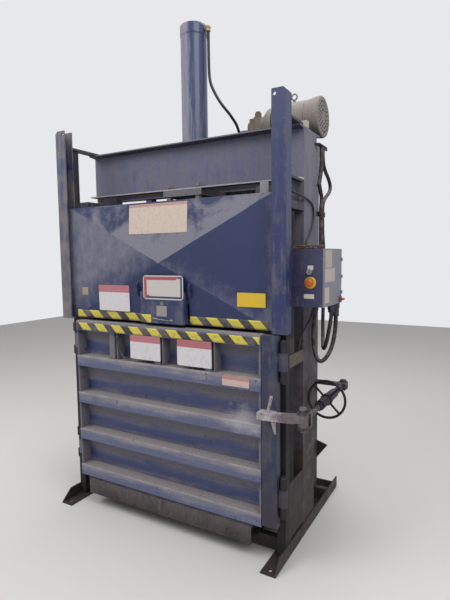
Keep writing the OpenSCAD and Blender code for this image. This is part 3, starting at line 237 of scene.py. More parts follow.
hose_rubber = jacket("nitrile rubber hose cover", "#15161b", "#33343a", 0.62)
conduit_pvc = jacket("grey PVC conduit jacket", "#2f2829", "#6b605d", 0.7)
cable_pvc = jacket("black PVC cable jacket", "#1b1a1e", "#4a4545", 0.65)
routes = (
    ("hose", "hydraulic_hose", 9, hose_rubber, "hose_rubber",
     [(111, -31, 3084), (111, -31, 2990), (112, -31, 2855), (117, -31, 2786), (133, -28, 2736),
      (171, -21, 2664), (198, 0, 2618), (220, 30, 2584), (232, 66, 2551), (238, 98, 2526),
      (238, 124, 2496), (238, 138, 2480), (238, 138, 2462)]),
    ("conduit_front", "conduits", 12, conduit_pvc, "conduit_jacket",
     [(798.5, 127, 2324), (798.5, 127, 2290), (798.5, 128, 2230), (798.5, 124, 2175),
      (799, 100, 2130), (799, 88, 2098), (799, 108, 2066), (799, 134, 2035), (799, 134, 1995),
      (798.5, 127, 1960), (798.5, 127, 1900), (799, 127, 1800), (801, 120, 1700),
      (803, 106, 1600), (803, 84, 1480), (803, 53, 1363), (803, 16, 1318), (805, -12, 1257),
      (810, -34, 1199), (820, -53, 1142), (835, -64, 1094), (850, -68, 1068),
      (868, -70, 1058), (890, -63, 1072), (910, -52, 1104), (926, -40, 1148),
      (938, -38, 1209), (946, -44, 1270), (947, -45, 1306), (947, -45, 1328)]),
    ("conduit_rear", "conduits", 11, conduit_pvc, "conduit_jacket",
     [(798.5, 158, 2324), (798.5, 158, 2270), (800, 162, 2228), (803, 190, 2187),
      (805, 240, 2159), (806, 280, 2124), (806, 290, 2096), (806, 264, 2064),
      (804, 206, 2036), (800, 168, 2001), (798.5, 158, 1965), (798.5, 158, 1895),
      (799, 164, 1800), (801, 180, 1720), (803, 180, 1560), (803, 174, 1361),
      (803, 168, 1263), (815, 136, 1176), (840, 55, 1128), (860, 11, 1118),
      (885, -40, 1142), (910, -80, 1200), (930, -108, 1270), (944, -126, 1325),
      (945, -127, 1342), (945, -127, 1358)]),
    ("cable_low", "control_cables", 5, cable_pvc, "conduit_jacket",
     [(818, -42, 1405), (818, -42, 1385), (812, -52, 1345), (804, -72, 1308),
      (798, -121, 1268), (793, -170, 1232), (784, -196, 1190), (781, -200, 1160),
      (781, -200, 1136)]),
    ("cable_high", "control_cables", 5.5, cable_pvc, "conduit_jacket",
     [(768, -346, 2020), (768, -325, 2020), (782, -268, 2012), (792, -205, 2003),
      (794, -140, 1997), (794, -82, 1988), (794, -25, 1974), (794, 3, 1945),
      (794, 8, 1881), (794, -20, 1835), (794, -62, 1792), (794, -100, 1762),
      (799, -128, 1738), (801, -132, 1722), (801, -132, 1709)]),
)
for cord_name, cad_node, cord_r, cord_skin, cord_slot, route in routes:
    line = smooth_route(route)
    cord = tube_mesh(cord_name, line, cord_r / 1000)
    cord.data.materials.append(cord_skin)
    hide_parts(cad_node)
    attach(cord, "frame")


# Machine enamel: alkyd paint sprayed over primer on hot-rolled steel. Years of
# shed dust lie on it, it is scuffed along edges, and grime climbs from the floor.
def enamel(name, paint, faded, dust, dusty=0.45, grime=0.35, rust=0.5, roughness=0.42,
           soil="#2f2725", pale=(0.0, 0.001, "#b5afb0")):
    """Paint with faded patches, settled dust, streaks, scratches, rust, floor grime and painted
    shade on undersides.

    dusty is how much of an upright face the dust covers, rust how much of it has
    chipped, and grime the height in metres that the dirt of colour soil climbs
    from the floor; on the sides, columns and corner posts that darkening is also
    painted shade. pale is a range of heights and the colour of the thick dust
    that lies there.
    """
    mat = bare_material(name)
    where = add(mat, "TexCoord").outputs["Object"]
    place = add(mat, "SeparateXYZ", {0: where})
    facing = add(mat, "SeparateXYZ", {0: add(mat, "NewGeometry").outputs["Normal"]})
    # Faded patches of about 300 mm
    broad = add(mat, "TexNoise", {"Vector": where, "Scale": 3.2, "Detail": 7.0, "Roughness": 0.62})
    fade = add(mat, "MapRange", {"Value": broad, "From Min": 0.44, "From Max": 0.60},
               interpolation_type="SMOOTHSTEP")
    base = add(mat, "Mix", {0: fade, 6: linear(paint), 7: linear(faded)}, data_type="RGBA")
    # Dust that ran down in streaks about 30 mm wide and 300 mm long
    slim = add(mat, "Mapping", {"Vector": where, "Scale": (30.0, 30.0, 3.0)})
    streak = add(mat, "TexNoise", {"Vector": slim, "Scale": 1.0, "Detail": 6.0, "Roughness": 0.7})
    cloud = add(mat, "TexNoise", {"Vector": where, "Scale": 9.0, "Detail": 9.0, "Roughness": 0.68})
    both = add(mat, "Math", {0: streak, 1: cloud})
    edge = 1.22 - 0.44 * dusty
    film = add(mat, "MapRange", {"Value": both, "From Min": edge - 0.16, "From Max": edge + 0.12},
               interpolation_type="SMOOTHSTEP")
    level_face = add(mat, "MapRange", {"Value": facing.outputs["Z"], "From Min": 0.35,
                                       "From Max": 0.9})
    cover = add(mat, "Math", {0: film, 1: level_face}, operation="MAXIMUM")
    dusted = add(mat, "Mix", {0: cover, 6: base, 7: linear(dust)}, data_type="RGBA")
    beyond = add(mat, "Math", {0: place.outputs["Z"], 1: (pale[0] + pale[1]) / 2},
                 operation="SUBTRACT")
    beyond = add(mat, "Math", {0: beyond}, operation="ABSOLUTE")
    inside = add(mat, "Math", {0: beyond, 1: (pale[1] - pale[0]) / 2}, operation="LESS_THAN")
    thick = add(mat, "Math", {0: inside, 1: cloud}, operation="MULTIPLY")
    thick = add(mat, "MapRange", {"Value": thick, "From Min": 0.2, "From Max": 0.45, "To Max": 0.9})
    dusted = add(mat, "Mix", {0: thick, 6: dusted, 7: linear(pale[2])}, data_type="RGBA")
    # Faces that look down are darkened as painted shade, and they hold oily dirt in place of dust
    underside_shade = add(mat, "MapRange", {"Value": facing.outputs["Z"], "From Min": -0.4, "From Max": -0.9,
                                  "To Max": 0.75})
    dusted = add(mat, "Mix", {0: underside_shade, 6: dusted, 7: linear("#1b191c")}, data_type="RGBA")
    # Fine speckle of grit, drawn at about 6 mm so that it shows
    grit = add(mat, "TexNoise", {"Vector": where, "Scale": 160.0, "Detail": 3.0})
    speck = add(mat, "MapRange", {"Value": grit, "From Min": 0.35, "From Max": 0.75, "To Min": 0.86,
                                  "To Max": 1.16})
    speckled = add(mat, "VectorMath", {0: dusted, "Scale": speck}, operation="SCALE")
    # Scratches and scuffs, long and thin, down to pale primer
    long = add(mat, "Mapping", {"Vector": where, "Rotation": (0.0, 0.35, 0.2),
                                "Scale": (5.0, 60.0, 140.0)})
    scratch = add(mat, "TexNoise", {"Vector": long, "Scale": 1.0, "Detail": 4.0, "Roughness": 0.75})
    cut = add(mat, "MapRange", {"Value": scratch, "From Min": 0.66, "From Max": 0.74,
                                "To Max": 0.6})
    scuffed = add(mat, "Mix", {0: cut, 6: speckled, 7: linear("#8c8b93")}, data_type="RGBA")
    # Rust where the paint has chipped, spots of 5 to 20 mm
    chip = add(mat, "TexNoise", {"Vector": where, "Scale": 36.0, "Detail": 6.0, "Roughness": 0.7})
    spot = add(mat, "MapRange", {"Value": chip, "From Min": 0.70 - 0.08 * rust,
                                 "From Max": 0.76 - 0.06 * rust, "To Max": 0.85})
    rusted = add(mat, "Mix", {0: spot, 6: scuffed, 7: linear("#4a332b")}, data_type="RGBA")
    # Brown grime, strongest at the floor; where it climbs high, on the sides, columns and corner
    # posts, it is also painted shade
    climb = add(mat, "MapRange", {"Value": place.outputs["Z"], "From Min": grime, "From Max": 0.0})
    ragged = add(mat, "Math", {0: climb, 1: cloud}, operation="MULTIPLY")
    dirt = add(mat, "MapRange", {"Value": ragged, "From Min": 0.08, "From Max": 0.4, "To Max": 0.9})
    final = add(mat, "Mix", {0: dirt, 6: rusted, 7: linear(soil)}, data_type="RGBA")
    gloss = add(mat, "MapRange", {"Value": cover, "To Min": roughness, "To Max": 0.85})
    relief = add(mat, "Math", {0: cloud, 1: 0.6, 2: grit}, operation="MULTIPLY_ADD")
    bump = add(mat, "Bump", {"Height": relief, "Strength": 0.22, "Distance": 0.0016})
    bsdf = add(mat, "BsdfPrincipled", {"Base Color": final, "Normal": bump, "Roughness": gloss})
    add(mat, "OutputMaterial", {"Surface": bsdf})
    return mat


def dress(mat, *names):
    """Gives the named CAD nodes one material, as their only one."""
    for name in names:
        node[name].data.materials.clear()
        node[name].data.materials.append(mat)


# The frame: rolled columns and crosshead channels, folded chamber walls, square
# posts and ties, all welded up and painted blue. The upright faces are dusty.
frame_enamel = enamel("blue machine enamel", "#39425f", "#454a66", "#716f79", dusty=0.42)
dress(frame_enamel, "rear_wall", "deck_plate", "oil_reservoir")
# The sides darken from the floor up to 2 m: grime and painted shade
side_grime_and_shade_enamel = enamel("blue enamel with grime and painted shade on the sides", "#2b2e44", "#38373f", "#5c5554", dusty=0.36,
                     grime=2.0, rust=1.0, roughness=0.65, soil="#2a2221",
                     pale=(1.05, 1.15, "#7f7265"))
dress(side_grime_and_shade_enamel, "side_braces", "side_wall_left", "side_wall_right")
# The columns darken towards the floor: brown grime and painted shade
column_grime_and_shade_enamel = enamel("dusty blue enamel on the columns", "#515670", "#666778", "#7b7882",
                       dusty=0.62, grime=2.5, rust=0.9, roughness=0.55, soil="#33241c")
dress(column_grime_and_shade_enamel, "column_left", "column_right", "rear_posts")
crosshead_enamel = enamel("faded blue enamel on the crosshead", "#4e5474", "#5f627b", "#6f6f80",
                          dusty=0.66, rust=0.2, pale=(2.09, 2.106, "#b9b3b4"))
dress(crosshead_enamel, "crosshead_front", "crosshead_rear")
post_enamel = enamel("blue enamel on the right guide post", "#27335c", "#313b61", "#5c5a68",
                     dusty=0.2, rust=0.8)
dress(post_enamel, "guide_post_right")
rubbed_enamel = enamel("rubbed enamel on the left guide post", "#3f4568", "#575a6c", "#787276",
                       dusty=0.4, grime=2.7, rust=0.9, soil="#857b73")
dress(rubbed_enamel, "guide_post_left")
# The corner posts' paint, dust and soil are all near black: painted shade
corner_shade_enamel = enamel("blue enamel darkened with painted shade on the corner posts", "#171827", "#1f1f2a", "#342f30",
                       dusty=0.3, grime=1.8, rust=1.2, roughness=0.75, soil="#1d1819")
dress(corner_shade_enamel, "corner_post_left", "corner_post_right")
base_enamel = enamel("grimy blue enamel on the base", "#33313c", "#454048", "#6c6466", dusty=0.75,
                     grime=0.3, rust=1.6, roughness=0.6)
dress(base_enamel, "base_frame")
skid_enamel = enamel("black enamel on the skids", "#171416", "#211b1a", "#3e3029", dusty=0.3,
                     grime=0.2, rust=1.4, roughness=0.5)
dress(skid_enamel, "skid_left", "skid_right")


# Bare steel: the pins, bolts, arm, screw and handwheel are machined or forged
# and dark with old oil, with light rust between the handled places. The piston
# rod alone is hard chrome, which is bright and smooth.
def bare_steel(name, metal, oily, rust, spots=0.5, metallic=0.75, roughness=0.48, greasy=None):
    """Steel whose oil film and rust follow two noises, of 60 mm and 8 mm.

    spots is how far the rust spreads, and greasy the x in metres from which dark
    grease covers the steel.
    """
    mat = bare_material(name)
    where = add(mat, "TexCoord").outputs["Object"]
    wide = add(mat, "TexNoise", {"Vector": where, "Scale": 16.0, "Detail": 7.0, "Roughness": 0.65})
    close = add(mat, "TexNoise", {"Vector": where, "Scale": 120.0, "Detail": 5.0, "Roughness": 0.7})
    film = add(mat, "MapRange", {"Value": wide, "From Min": 0.4, "From Max": 0.62},
               interpolation_type="SMOOTHSTEP")
    oiled = add(mat, "Mix", {0: film, 6: linear(metal), 7: linear(oily)}, data_type="RGBA")
    sum_of = add(mat, "Math", {0: wide, 1: close})
    rusty = add(mat, "MapRange", {"Value": sum_of, "From Min": 1.2 - 0.3 * spots,
                                  "From Max": 1.36 - 0.3 * spots})
    colour = add(mat, "Mix", {0: rusty, 6: oiled, 7: linear(rust)}, data_type="RGBA")
    if greasy:
        place = add(mat, "SeparateXYZ", {0: where})
        near = add(mat, "MapRange", {"Value": place.outputs["X"], "From Min": greasy - 0.03,
                                     "From Max": greasy + 0.02, "To Max": 0.75})
        colour = add(mat, "Mix", {0: near, 6: colour, 7: linear("#574b4d")}, data_type="RGBA")
    shine = add(mat, "MapRange", {"Value": rusty, "To Min": metallic, "To Max": 0.1})
    rough = add(mat, "MapRange", {"Value": sum_of, "From Min": 0.7, "From Max": 1.3,
                                  "To Min": roughness, "To Max": roughness + 0.35})
    bump = add(mat, "Bump", {"Height": close, "Strength": 0.2, "Distance": 0.001})
    bsdf = add(mat, "BsdfPrincipled", {"Base Color": colour, "Normal": bump, "Metallic": shine,
                                       "Roughness": rough})
    add(mat, "OutputMaterial", {"Surface": bsdf})
    return mat


oiled_steel = bare_steel("oiled dark steel", "#55535a", "#33323a", "#4c3a34")
dress(oiled_steel, "rear_arm", "hinge_pins", "screw_swivel", "conduit_fittings", "return_pipe")
wheel_steel = bare_steel("handled cast iron", "#3a3942", "#24242b", "#40322e", roughness=0.38)
dress(wheel_steel, "handwheel")
screw_steel = bare_steel("greased screw steel", "#6a676c", "#3b393e", "#574238", roughness=0.35)
dress(screw_steel, "screw_rod")
worn_steel = bare_steel("worn dusty steel", "#8a8488", "#6f696f", "#6b5449", spots=0.8,
                        metallic=0.35, roughness=0.6)
dress(worn_steel, "mount_bolts", "lifting_eye")
floor_steel = bare_steel("scoured steel of the chamber's floor", "#5f5b5d", "#4b4648", "#52443d",
                         spots=0.6, metallic=0.3, roughness=0.6)
dress(floor_steel, "chamber_floor")
lever_steel = bare_steel("rubbed steel of the latch lever", "#bbb5b8", "#99939a", "#7a665c",
                         spots=0.45, metallic=0.3, roughness=0.5, greasy=0.80)
dress(lever_steel, "latch_lever")
chain_steel = bare_steel("rusty chain steel", "#8a766f", "#5e4c47", "#6f4f44", spots=1.3,
                         metallic=0.4, roughness=0.6)
dress(chain_steel, "box_chain")
rod_chrome = bare_steel("hard chrome plate", "#c9c9cc", "#b5b5ba", "#9c9388", spots=-0.6,
                        metallic=1.0, roughness=0.12)
dress(rod_chrome, "piston_rod")


# Grey enamel on the bought-in parts: the motor with its fan cover, the bell
# housing, the cylinder's base plate and the valve block, all dusty.
motor_enamel = enamel("grey motor enamel", "#746e6d", "#7d7774", "#877f79", dusty=0.6, grime=0.0,
                      rust=0.1, roughness=0.5)
dress(motor_enamel, "motor_housing", "fan_cover", "pump_adapter")
mount_enamel = enamel("grey enamel under oily dust", "#62606a", "#6f6c76", "#7a757a", dusty=0.5,
                      grime=0.0, rust=0.6)
dress(mount_enamel, "cylinder_mount", "valve_block", "cylinder_gland")
pump_dust = enamel("oily tan dust on cast iron", "#5c5047", "#6f6254", "#82766a", dusty=0.6,
                   grime=0.0, rust=0.8, roughness=0.7)
dress(pump_dust, "gear_pump", "solenoid_valve")


# The cylinder barrel: honed seamless tube with a fresher, glossier blue coat,
# under a film of dust that lies thickest on its left.
def barrel_enamel():
    """Gloss enamel whose dust grows towards -X, in upright streaks 15 mm wide and 200 long."""
    mat = bare_material("gloss blue enamel on the cylinder")
    where = add(mat, "TexCoord").outputs["Object"]
    facing = add(mat, "SeparateXYZ", {0: add(mat, "NewGeometry").outputs["Normal"]})
    slim = add(mat, "Mapping", {"Vector": where, "Scale": (70.0, 70.0, 5.0)})
    streak = add(mat, "TexNoise", {"Vector": slim, "Scale": 1.0, "Detail": 6.0, "Roughness": 0.7})
    fine = add(mat, "TexNoise", {"Vector": where, "Scale": 130.0, "Detail": 4.0})
    side = add(mat, "MapRange", {"Value": facing.outputs["X"], "From Min": 0.55, "From Max": -0.9,
                                 "To Min": -0.16, "To Max": 0.42})
    lower = add(mat, "SeparateXYZ", {0: where})
    foot = add(mat, "MapRange", {"Value": lower.outputs["Z"], "From Min": 2.8, "From Max": 2.4,
                                 "To Max": 0.16})
    amount = add(mat, "Math", {0: streak, 1: side})
    amount = add(mat, "Math", {0: amount, 1: foot})
    film = add(mat, "MapRange", {"Value": amount, "From Min": 0.38, "From Max": 0.85},
               interpolation_type="SMOOTHSTEP")
    blue = add(mat, "Mix", {0: fine, 6: linear("#2a3860"), 7: linear("#47516f")}, data_type="RGBA")
    colour = add(mat, "Mix", {0: film, 6: blue, 7: linear("#8b8a95")}, data_type="RGBA")
    rough = add(mat, "MapRange", {"Value": film, "To Min": 0.24, "To Max": 0.7})
    bsdf = add(mat, "BsdfPrincipled", {"Base Color": colour, "Roughness": rough})
    add(mat, "OutputMaterial", {"Surface": bsdf})
    return mat


dress(barrel_enamel(), "cylinder_barrel")
port_brass = bare_steel("dull brass fitting", "#a89b78", "#7d725a", "#6b5d44", metallic=0.8)
dress(port_brass, "port_fitting")


# The feed gate: 6 mm plate that is cross-broken from corner to corner, so that
# each of its four faces catches the light and holds the dust in its own way.
# Its top and left faces are also painted lighter, as dust and as painted light.
gate_half_wide, gate_half_high, gate_middle = 0.728, 0.36, 1.6403
gate_rim_y, gate_peak = -0.433, 0.024


def gate_enamel():
    """Blue enamel with four faces: lighter on the left and top, from dust and painted
    light, and deep blue on the others.

    A face's mask is how far a point lies past both diagonals, u and w being the
    distances from the middle over the half width and the half height. The dust's
    noises are of 300 and 75 mm, and its streaks 40 mm wide and 250 mm long.
    """
    mat = bare_material("blue enamel on the gate")
    where = add(mat, "TexCoord").outputs["Object"]
    place = add(mat, "SeparateXYZ", {0: where})
    u = add(mat, "Math", {0: place.outputs["X"], 1: 1 / gate_half_wide}, operation="MULTIPLY")
    w = add(mat, "Math", {0: place.outputs["Z"], 1: 1 / gate_half_high,
                          2: -gate_middle / gate_half_high}, operation="MULTIPLY_ADD")
    size_u = add(mat, "Math", {0: u}, operation="ABSOLUTE")
    size_w = add(mat, "Math", {0: w}, operation="ABSOLUTE")
    past = {"left": add(mat, "Math", {0: u, 1: -1.0}, operation="MULTIPLY"), "top": w, "right": u}
    masks = {}
    for side, value in past.items():
        other = size_u if side == "top" else size_w
        gap = add(mat, "Math", {0: value, 1: other}, operation="SUBTRACT")
        masks[side] = add(mat, "MapRange", {"Value": gap, "From Min": -0.012, "From Max": 0.012})
    broad = add(mat, "TexNoise", {"Vector": where, "Scale": 3.4, "Detail": 8.0, "Roughness": 0.6,
                                  "Distortion": 0.6})
    cloud = add(mat, "TexNoise", {"Vector": where, "Scale": 13.0, "Detail": 9.0, "Roughness": 0.7})
    slim = add(mat, "Mapping", {"Vector": where, "Rotation": (0.0, 0.5, 0.0),
                                "Scale": (26.0, 26.0, 4.0)})
    streak = add(mat, "TexNoise", {"Vector": slim, "Scale": 1.0, "Detail": 6.0, "Roughness": 0.7})
    mixed = add(mat, "Math", {0: cloud, 1: 0.55, 2: 0.15}, operation="MULTIPLY_ADD")
    mixed = add(mat, "Math", {0: streak, 1: 0.3, 2: mixed}, operation="MULTIPLY_ADD")
    # On the top face smoky dust and painted light lie along the creases and low in
    # the middle, the left face is lighter away from its crease, and the right one
    # close to it, each face from dust and painted light
    rising = add(mat, "Math", {0: w, 1: u}, operation="SUBTRACT")
    falling = add(mat, "Math", {0: w, 1: u})
    near = add(mat, "Math", {0: rising, 1: falling}, operation="MINIMUM")
    swathe = add(mat, "MapRange", {"Value": near, "From Min": 0.9, "From Max": 0.1, "To Min": -0.12,
                                   "To Max": 0.5})
    patchy = add(mat, "Math", {0: broad, 1: 3.4, 2: -1.75}, operation="MULTIPLY_ADD")
    top_dust_and_light = add(mat, "Math", {0: patchy, 1: swathe})
    middle = add(mat, "MapRange", {"Value": w, "From Min": 0.7, "From Max": 0.3, "To Max": 0.35})
    top_dust_and_light = add(mat, "Math", {0: top_dust_and_light, 1: middle})
    left_dust_and_light = add(mat, "MapRange", {"Value": rising, "From Min": 0.0, "From Max": 0.6, "To Min": 0.12,
                                  "To Max": 0.36})
    right_dust_and_light = add(mat, "MapRange", {"Value": falling, "From Min": 0.0, "From Max": 0.4,
                                   "To Min": 0.2, "To Max": -0.02})
    border = add(mat, "MapRange", {"Value": u, "From Min": 0.9, "From Max": 1.0, "To Max": 0.25})
    amount = add(mat, "Math", {0: mixed, 1: border})
    for side, extra in (("top", top_dust_and_light), ("left", left_dust_and_light), ("right", right_dust_and_light)):
        amount = add(mat, "Math", {0: masks[side], 1: extra, 2: amount}, operation="MULTIPLY_ADD")
    film = add(mat, "MapRange", {"Value": amount, "From Min": 0.60, "From Max": 1.12},
               interpolation_type="SMOOTHSTEP")
    blue = add(mat, "Mix", {0: broad, 6: linear("#1a2449"), 7: linear("#2e3963")}, data_type="RGBA")
    dusted = add(mat, "Mix", {0: film, 6: blue, 7: linear("#7e7d8b")}, data_type="RGBA")
    # Grit of 6 mm, and scratches 8 mm wide and 170 mm long
    grit = add(mat, "TexNoise", {"Vector": where, "Scale": 170.0, "Detail": 3.0})
    speck = add(mat, "MapRange", {"Value": grit, "From Min": 0.35, "From Max": 0.75, "To Min": 0.88,
                                  "To Max": 1.14})
    speckled = add(mat, "VectorMath", {0: dusted, "Scale": speck}, operation="SCALE")
    long = add(mat, "Mapping", {"Vector": where, "Rotation": (0.0, 0.8, 0.0),
                                "Scale": (6.0, 40.0, 120.0)})
    scratch = add(mat, "TexNoise", {"Vector": long, "Scale": 1.0, "Detail": 4.0, "Roughness": 0.75})
    cut = add(mat, "MapRange", {"Value": scratch, "From Min": 0.67, "From Max": 0.76,
                                "To Max": 0.55})
    scuffed = add(mat, "Mix", {0: cut, 6: speckled, 7: linear("#9c9ca6")}, data_type="RGBA")
    rough = add(mat, "MapRange", {"Value": film, "To Min": 0.36, "To Max": 0.8})
    bump = add(mat, "Bump", {"Height": mixed, "Strength": 0.15, "Distance": 0.002})
    bsdf = add(mat, "BsdfPrincipled", {"Base Color": scuffed, "Roughness": rough, "Normal": bump})
    add(mat, "OutputMaterial", {"Surface": bsdf})
    return mat


dress(gate_enamel(), "gate_panel")
gate_cover_enamel = enamel("blue enamel on the gate's cover", "#29335c", "#353e63", "#5e5d6c",
                           dusty=0.28, rust=0.5)
dress(gate_cover_enamel, "gate_cover")


# The bale door: a plate skin under four channel ribs. Bale dust fills the upper
# part of each bay, and the paint stays blue just above each rib.
rib_pitch, rib_foot = 0.251, 0.277


def door_enamel(name, band, paint, dust):
    """Enamel in bays: blue where the height above the last rib is near the band's middle.

    band is that middle as a share of the ribs' pitch. The smears are 290 mm long
    and 40 mm high, broken up by a noise of 80 mm.
    """
    mat = bare_material(name)
    where = add(mat, "TexCoord").outputs["Object"]
    place = add(mat, "SeparateXYZ", {0: where})
    facing = add(mat, "SeparateXYZ", {0: add(mat, "NewGeometry").outputs["Normal"]})
    bays = add(mat, "Math", {0: place.outputs["Z"], 1: 1 / rib_pitch, 2: -rib_foot / rib_pitch},
               operation="MULTIPLY_ADD")
    height = add(mat, "Math", {0: bays}, operation="FRACT")
    off = add(mat, "Math", {0: height, 1: band}, operation="SUBTRACT")
    off = add(mat, "Math", {0: off}, operation="ABSOLUTE")
    slim = add(mat, "Mapping", {"Vector": where, "Scale": (3.5, 20.0, 26.0)})
    smear = add(mat, "TexNoise", {"Vector": slim, "Scale": 1.0, "Detail": 7.0, "Roughness": 0.62})
    cloud = add(mat, "TexNoise", {"Vector": where, "Scale": 12.0, "Detail": 9.0, "Roughness": 0.7})
    waver = add(mat, "Math", {0: smear, 1: 0.5, 2: off}, operation="MULTIPLY_ADD")
    waver = add(mat, "Math", {0: cloud, 1: 0.2, 2: waver}, operation="MULTIPLY_ADD")
    film = add(mat, "MapRange", {"Value": waver, "From Min": 0.38, "From Max": 0.60},
               interpolation_type="SMOOTHSTEP")
    level_face = add(mat, "MapRange", {"Value": facing.outputs["Z"], "From Min": 0.35,
                                       "From Max": 0.9})
    cover = add(mat, "Math", {0: film, 1: level_face}, operation="MAXIMUM")
    grey = add(mat, "Mix", {0: level_face, 6: linear(dust), 7: linear("#918a89")}, data_type="RGBA")
    dusted = add(mat, "Mix", {0: cover, 6: linear(paint), 7: grey}, data_type="RGBA")
    grit = add(mat, "TexNoise", {"Vector": where, "Scale": 150.0, "Detail": 3.0})
    speck = add(mat, "MapRange", {"Value": grit, "From Min": 0.35, "From Max": 0.75, "To Min": 0.84,
                                  "To Max": 1.18})
    speckled = add(mat, "VectorMath", {0: dusted, "Scale": speck}, operation="SCALE")
    # Slanting dark nicks of 20 to 60 mm
    lean = add(mat, "Mapping", {"Vector": where, "Rotation": (0.0, 0.6, 0.0),
                                "Scale": (34.0, 20.0, 11.0)})
    scuff = add(mat, "TexNoise", {"Vector": lean, "Scale": 1.0, "Detail": 3.0, "Roughness": 0.75})
    dark = add(mat, "MapRange", {"Value": scuff, "From Min": 0.66, "From Max": 0.70, "To Max": 0.8})
    scuffed = add(mat, "Mix", {0: dark, 6: speckled, 7: linear("#2b2930")}, data_type="RGBA")
    # A pale line along the top edge of each rib, broken in places, is dust and a painted highlight
    edge_highlight_and_dust = add(mat, "MapRange", {"Value": height, "From Min": 0.955, "From Max": 0.975})
    edge_breaks = add(mat, "MapRange", {"Value": cloud, "From Min": 0.42, "From Max": 0.58,
                                  "To Max": 0.75})
    edge_highlight_and_dust = add(mat, "Math", {0: edge_highlight_and_dust, 1: edge_breaks}, operation="MULTIPLY")
    scuffed = add(mat, "Mix", {0: edge_highlight_and_dust, 6: scuffed, 7: linear("#aaa6a8")}, data_type="RGBA")
    # One place beside the latch is rubbed pale, longer than it is high
    away = add(mat, "VectorMath", {0: where, 1: (0.56, -0.45, 0.775)}, operation="SUBTRACT")
    away = add(mat, "VectorMath", {0: away, 1: (0.9, 0.4, 1.8)}, operation="MULTIPLY")
    reach = add(mat, "VectorMath", {0: away}, operation="LENGTH")
    rub = add(mat, "Math", {0: cloud, 1: 0.3, 2: reach}, operation="MULTIPLY_ADD")
    rub = add(mat, "Math", {0: smear, 1: 0.3, 2: rub}, operation="MULTIPLY_ADD")
    rubbed = add(mat, "MapRange", {"Value": rub, "From Min": 0.44, "From Max": 0.28,
                                   "To Max": 0.85})
    final = add(mat, "Mix", {0: rubbed, 6: scuffed, 7: linear("#b9b6ba")}, data_type="RGBA")
    # The face toward the chamber is scoured to grey by the waste
    own = add(mat, "SeparateXYZ", {0: add(mat, "TexCoord").outputs["Normal"]})
    inward = add(mat, "MapRange", {"Value": own.outputs["Y"], "From Min": 0.4, "From Max": 0.9,
                                   "To Max": 0.8})
    scour = add(mat, "Mix", {0: smear, 6: linear("#39363a"), 7: linear("#7a7475")},
                data_type="RGBA")
    final = add(mat, "Mix", {0: inward, 6: final, 7: scour}, data_type="RGBA")
    rough = add(mat, "MapRange", {"Value": cover, "To Min": 0.4, "To Max": 0.8})
    bump = add(mat, "Bump", {"Height": cloud, "Strength": 0.2, "Distance": 0.002})
    bsdf = add(mat, "BsdfPrincipled", {"Base Color": final, "Roughness": rough, "Normal": bump})
    add(mat, "OutputMaterial", {"Surface": bsdf})
    return mat


dress(door_enamel("blue enamel on the door's skin", 0.2, "#414b76", "#75727d"), "door_skin",
      "bay_sheets")
dress(door_enamel("scuffed enamel on the door's ribs", 0.75, "#5b6281", "#8e8a8f"), "door_ribs")
dress(door_enamel("darker enamel on the door's ends", 0.75, "#464d70", "#706d75"), "door_frame",
      "tie_guides")
latch_enamel = enamel("blue enamel on the latch post", "#272d4c", "#33364f", "#534f5a", dusty=0.35,
                      grime=0.7, rust=0.8)
dress(latch_enamel, "latch_post")
platen_enamel = enamel("blue enamel on the platen", "#343b5c", "#42465f", "#6c6866", dusty=0.5,
                       rust=1.0)
dress(platen_enamel, "platen")


# The control box: folded sheet, powder coated, with a grey cover clamped to its
# right side. Its buttons are moulded plastic, a little glossy under the dust, and
# its key switch is plated with nickel.
box_powder = enamel("dark blue powder coat", "#383a5b", "#42435e", "#5d596b", dusty=0.2, grime=0.0,
                    rust=0.1, roughness=0.5)
dress(box_powder, "control_box")
cover_powder = enamel("grey powder coat", "#757a8c", "#7f8496", "#918c8b", dusty=0.4, grime=0.0,
                      rust=0.3, roughness=0.5)
dress(cover_powder, "box_cover")


def plastic(name, fresh, dusty, roughness=0.4):
    """Moulded plastic with a little dust broken up by a 15 mm noise."""
    mat = bare_material(name)
    where = add(mat, "TexCoord").outputs["Object"]
    cloud = add(mat, "TexNoise", {"Vector": where, "Scale": 65.0, "Detail": 5.0})
    dust = add(mat, "MapRange", {"Value": cloud, "From Min": 0.5, "From Max": 0.72},
               interpolation_type="SMOOTHSTEP")
    colour = add(mat, "Mix", {0: dust, 6: linear(fresh), 7: linear(dusty)}, data_type="RGBA")
    bsdf = add(mat, "BsdfPrincipled", {"Base Color": colour, "Roughness": roughness})
    add(mat, "OutputMaterial", {"Surface": bsdf})
    return mat


dress(plastic("red moulded plastic", "#c4571f", "#a86a4a"), "stop_button")
dress(plastic("dark red moulded plastic", "#8a3a2b", "#7b5a4c"), "disconnect_knob")
dress(plastic("yellow moulded plastic", "#e3b021", "#b9993f"), "stop_collar")
dress(bare_steel("nickel-plated key switch", "#b9bbb6", "#8f918d", "#7b7467", spots=-0.3,
                 metallic=0.9, roughness=0.3), "key_switch")


# Hazard tape on the gate's foot, on its cover and on the door's rim: strips of
# vinyl about 48 mm wide with black and yellow stripes, laid on by hand and rubbed.
def tape_strip(name, x0, x1, z0, z1, surface, along=120, up=6):
    """A strip on an upright surface: a grid of x and z, y being the surface's less 0.6 mm."""
    x, z = np.meshgrid(np.linspace(x0, x1, along), np.linspace(z0, z1, up), indexing="ij")
    y = surface(x, z) - 0.0006
    points = np.stack([x, y, z], -1).reshape(-1, 3)
    i, k = np.meshgrid(np.arange(along - 1), np.arange(up - 1), indexing="ij")
    a = i * up + k
    faces = np.stack([a, a + up, a + up + 1, a + 1], -1).reshape(-1, 4)
    made = grid_mesh(name, points, faces)
    thick = made.modifiers.new("thickness", "SOLIDIFY")
    thick.thickness = 0.0005
    return made


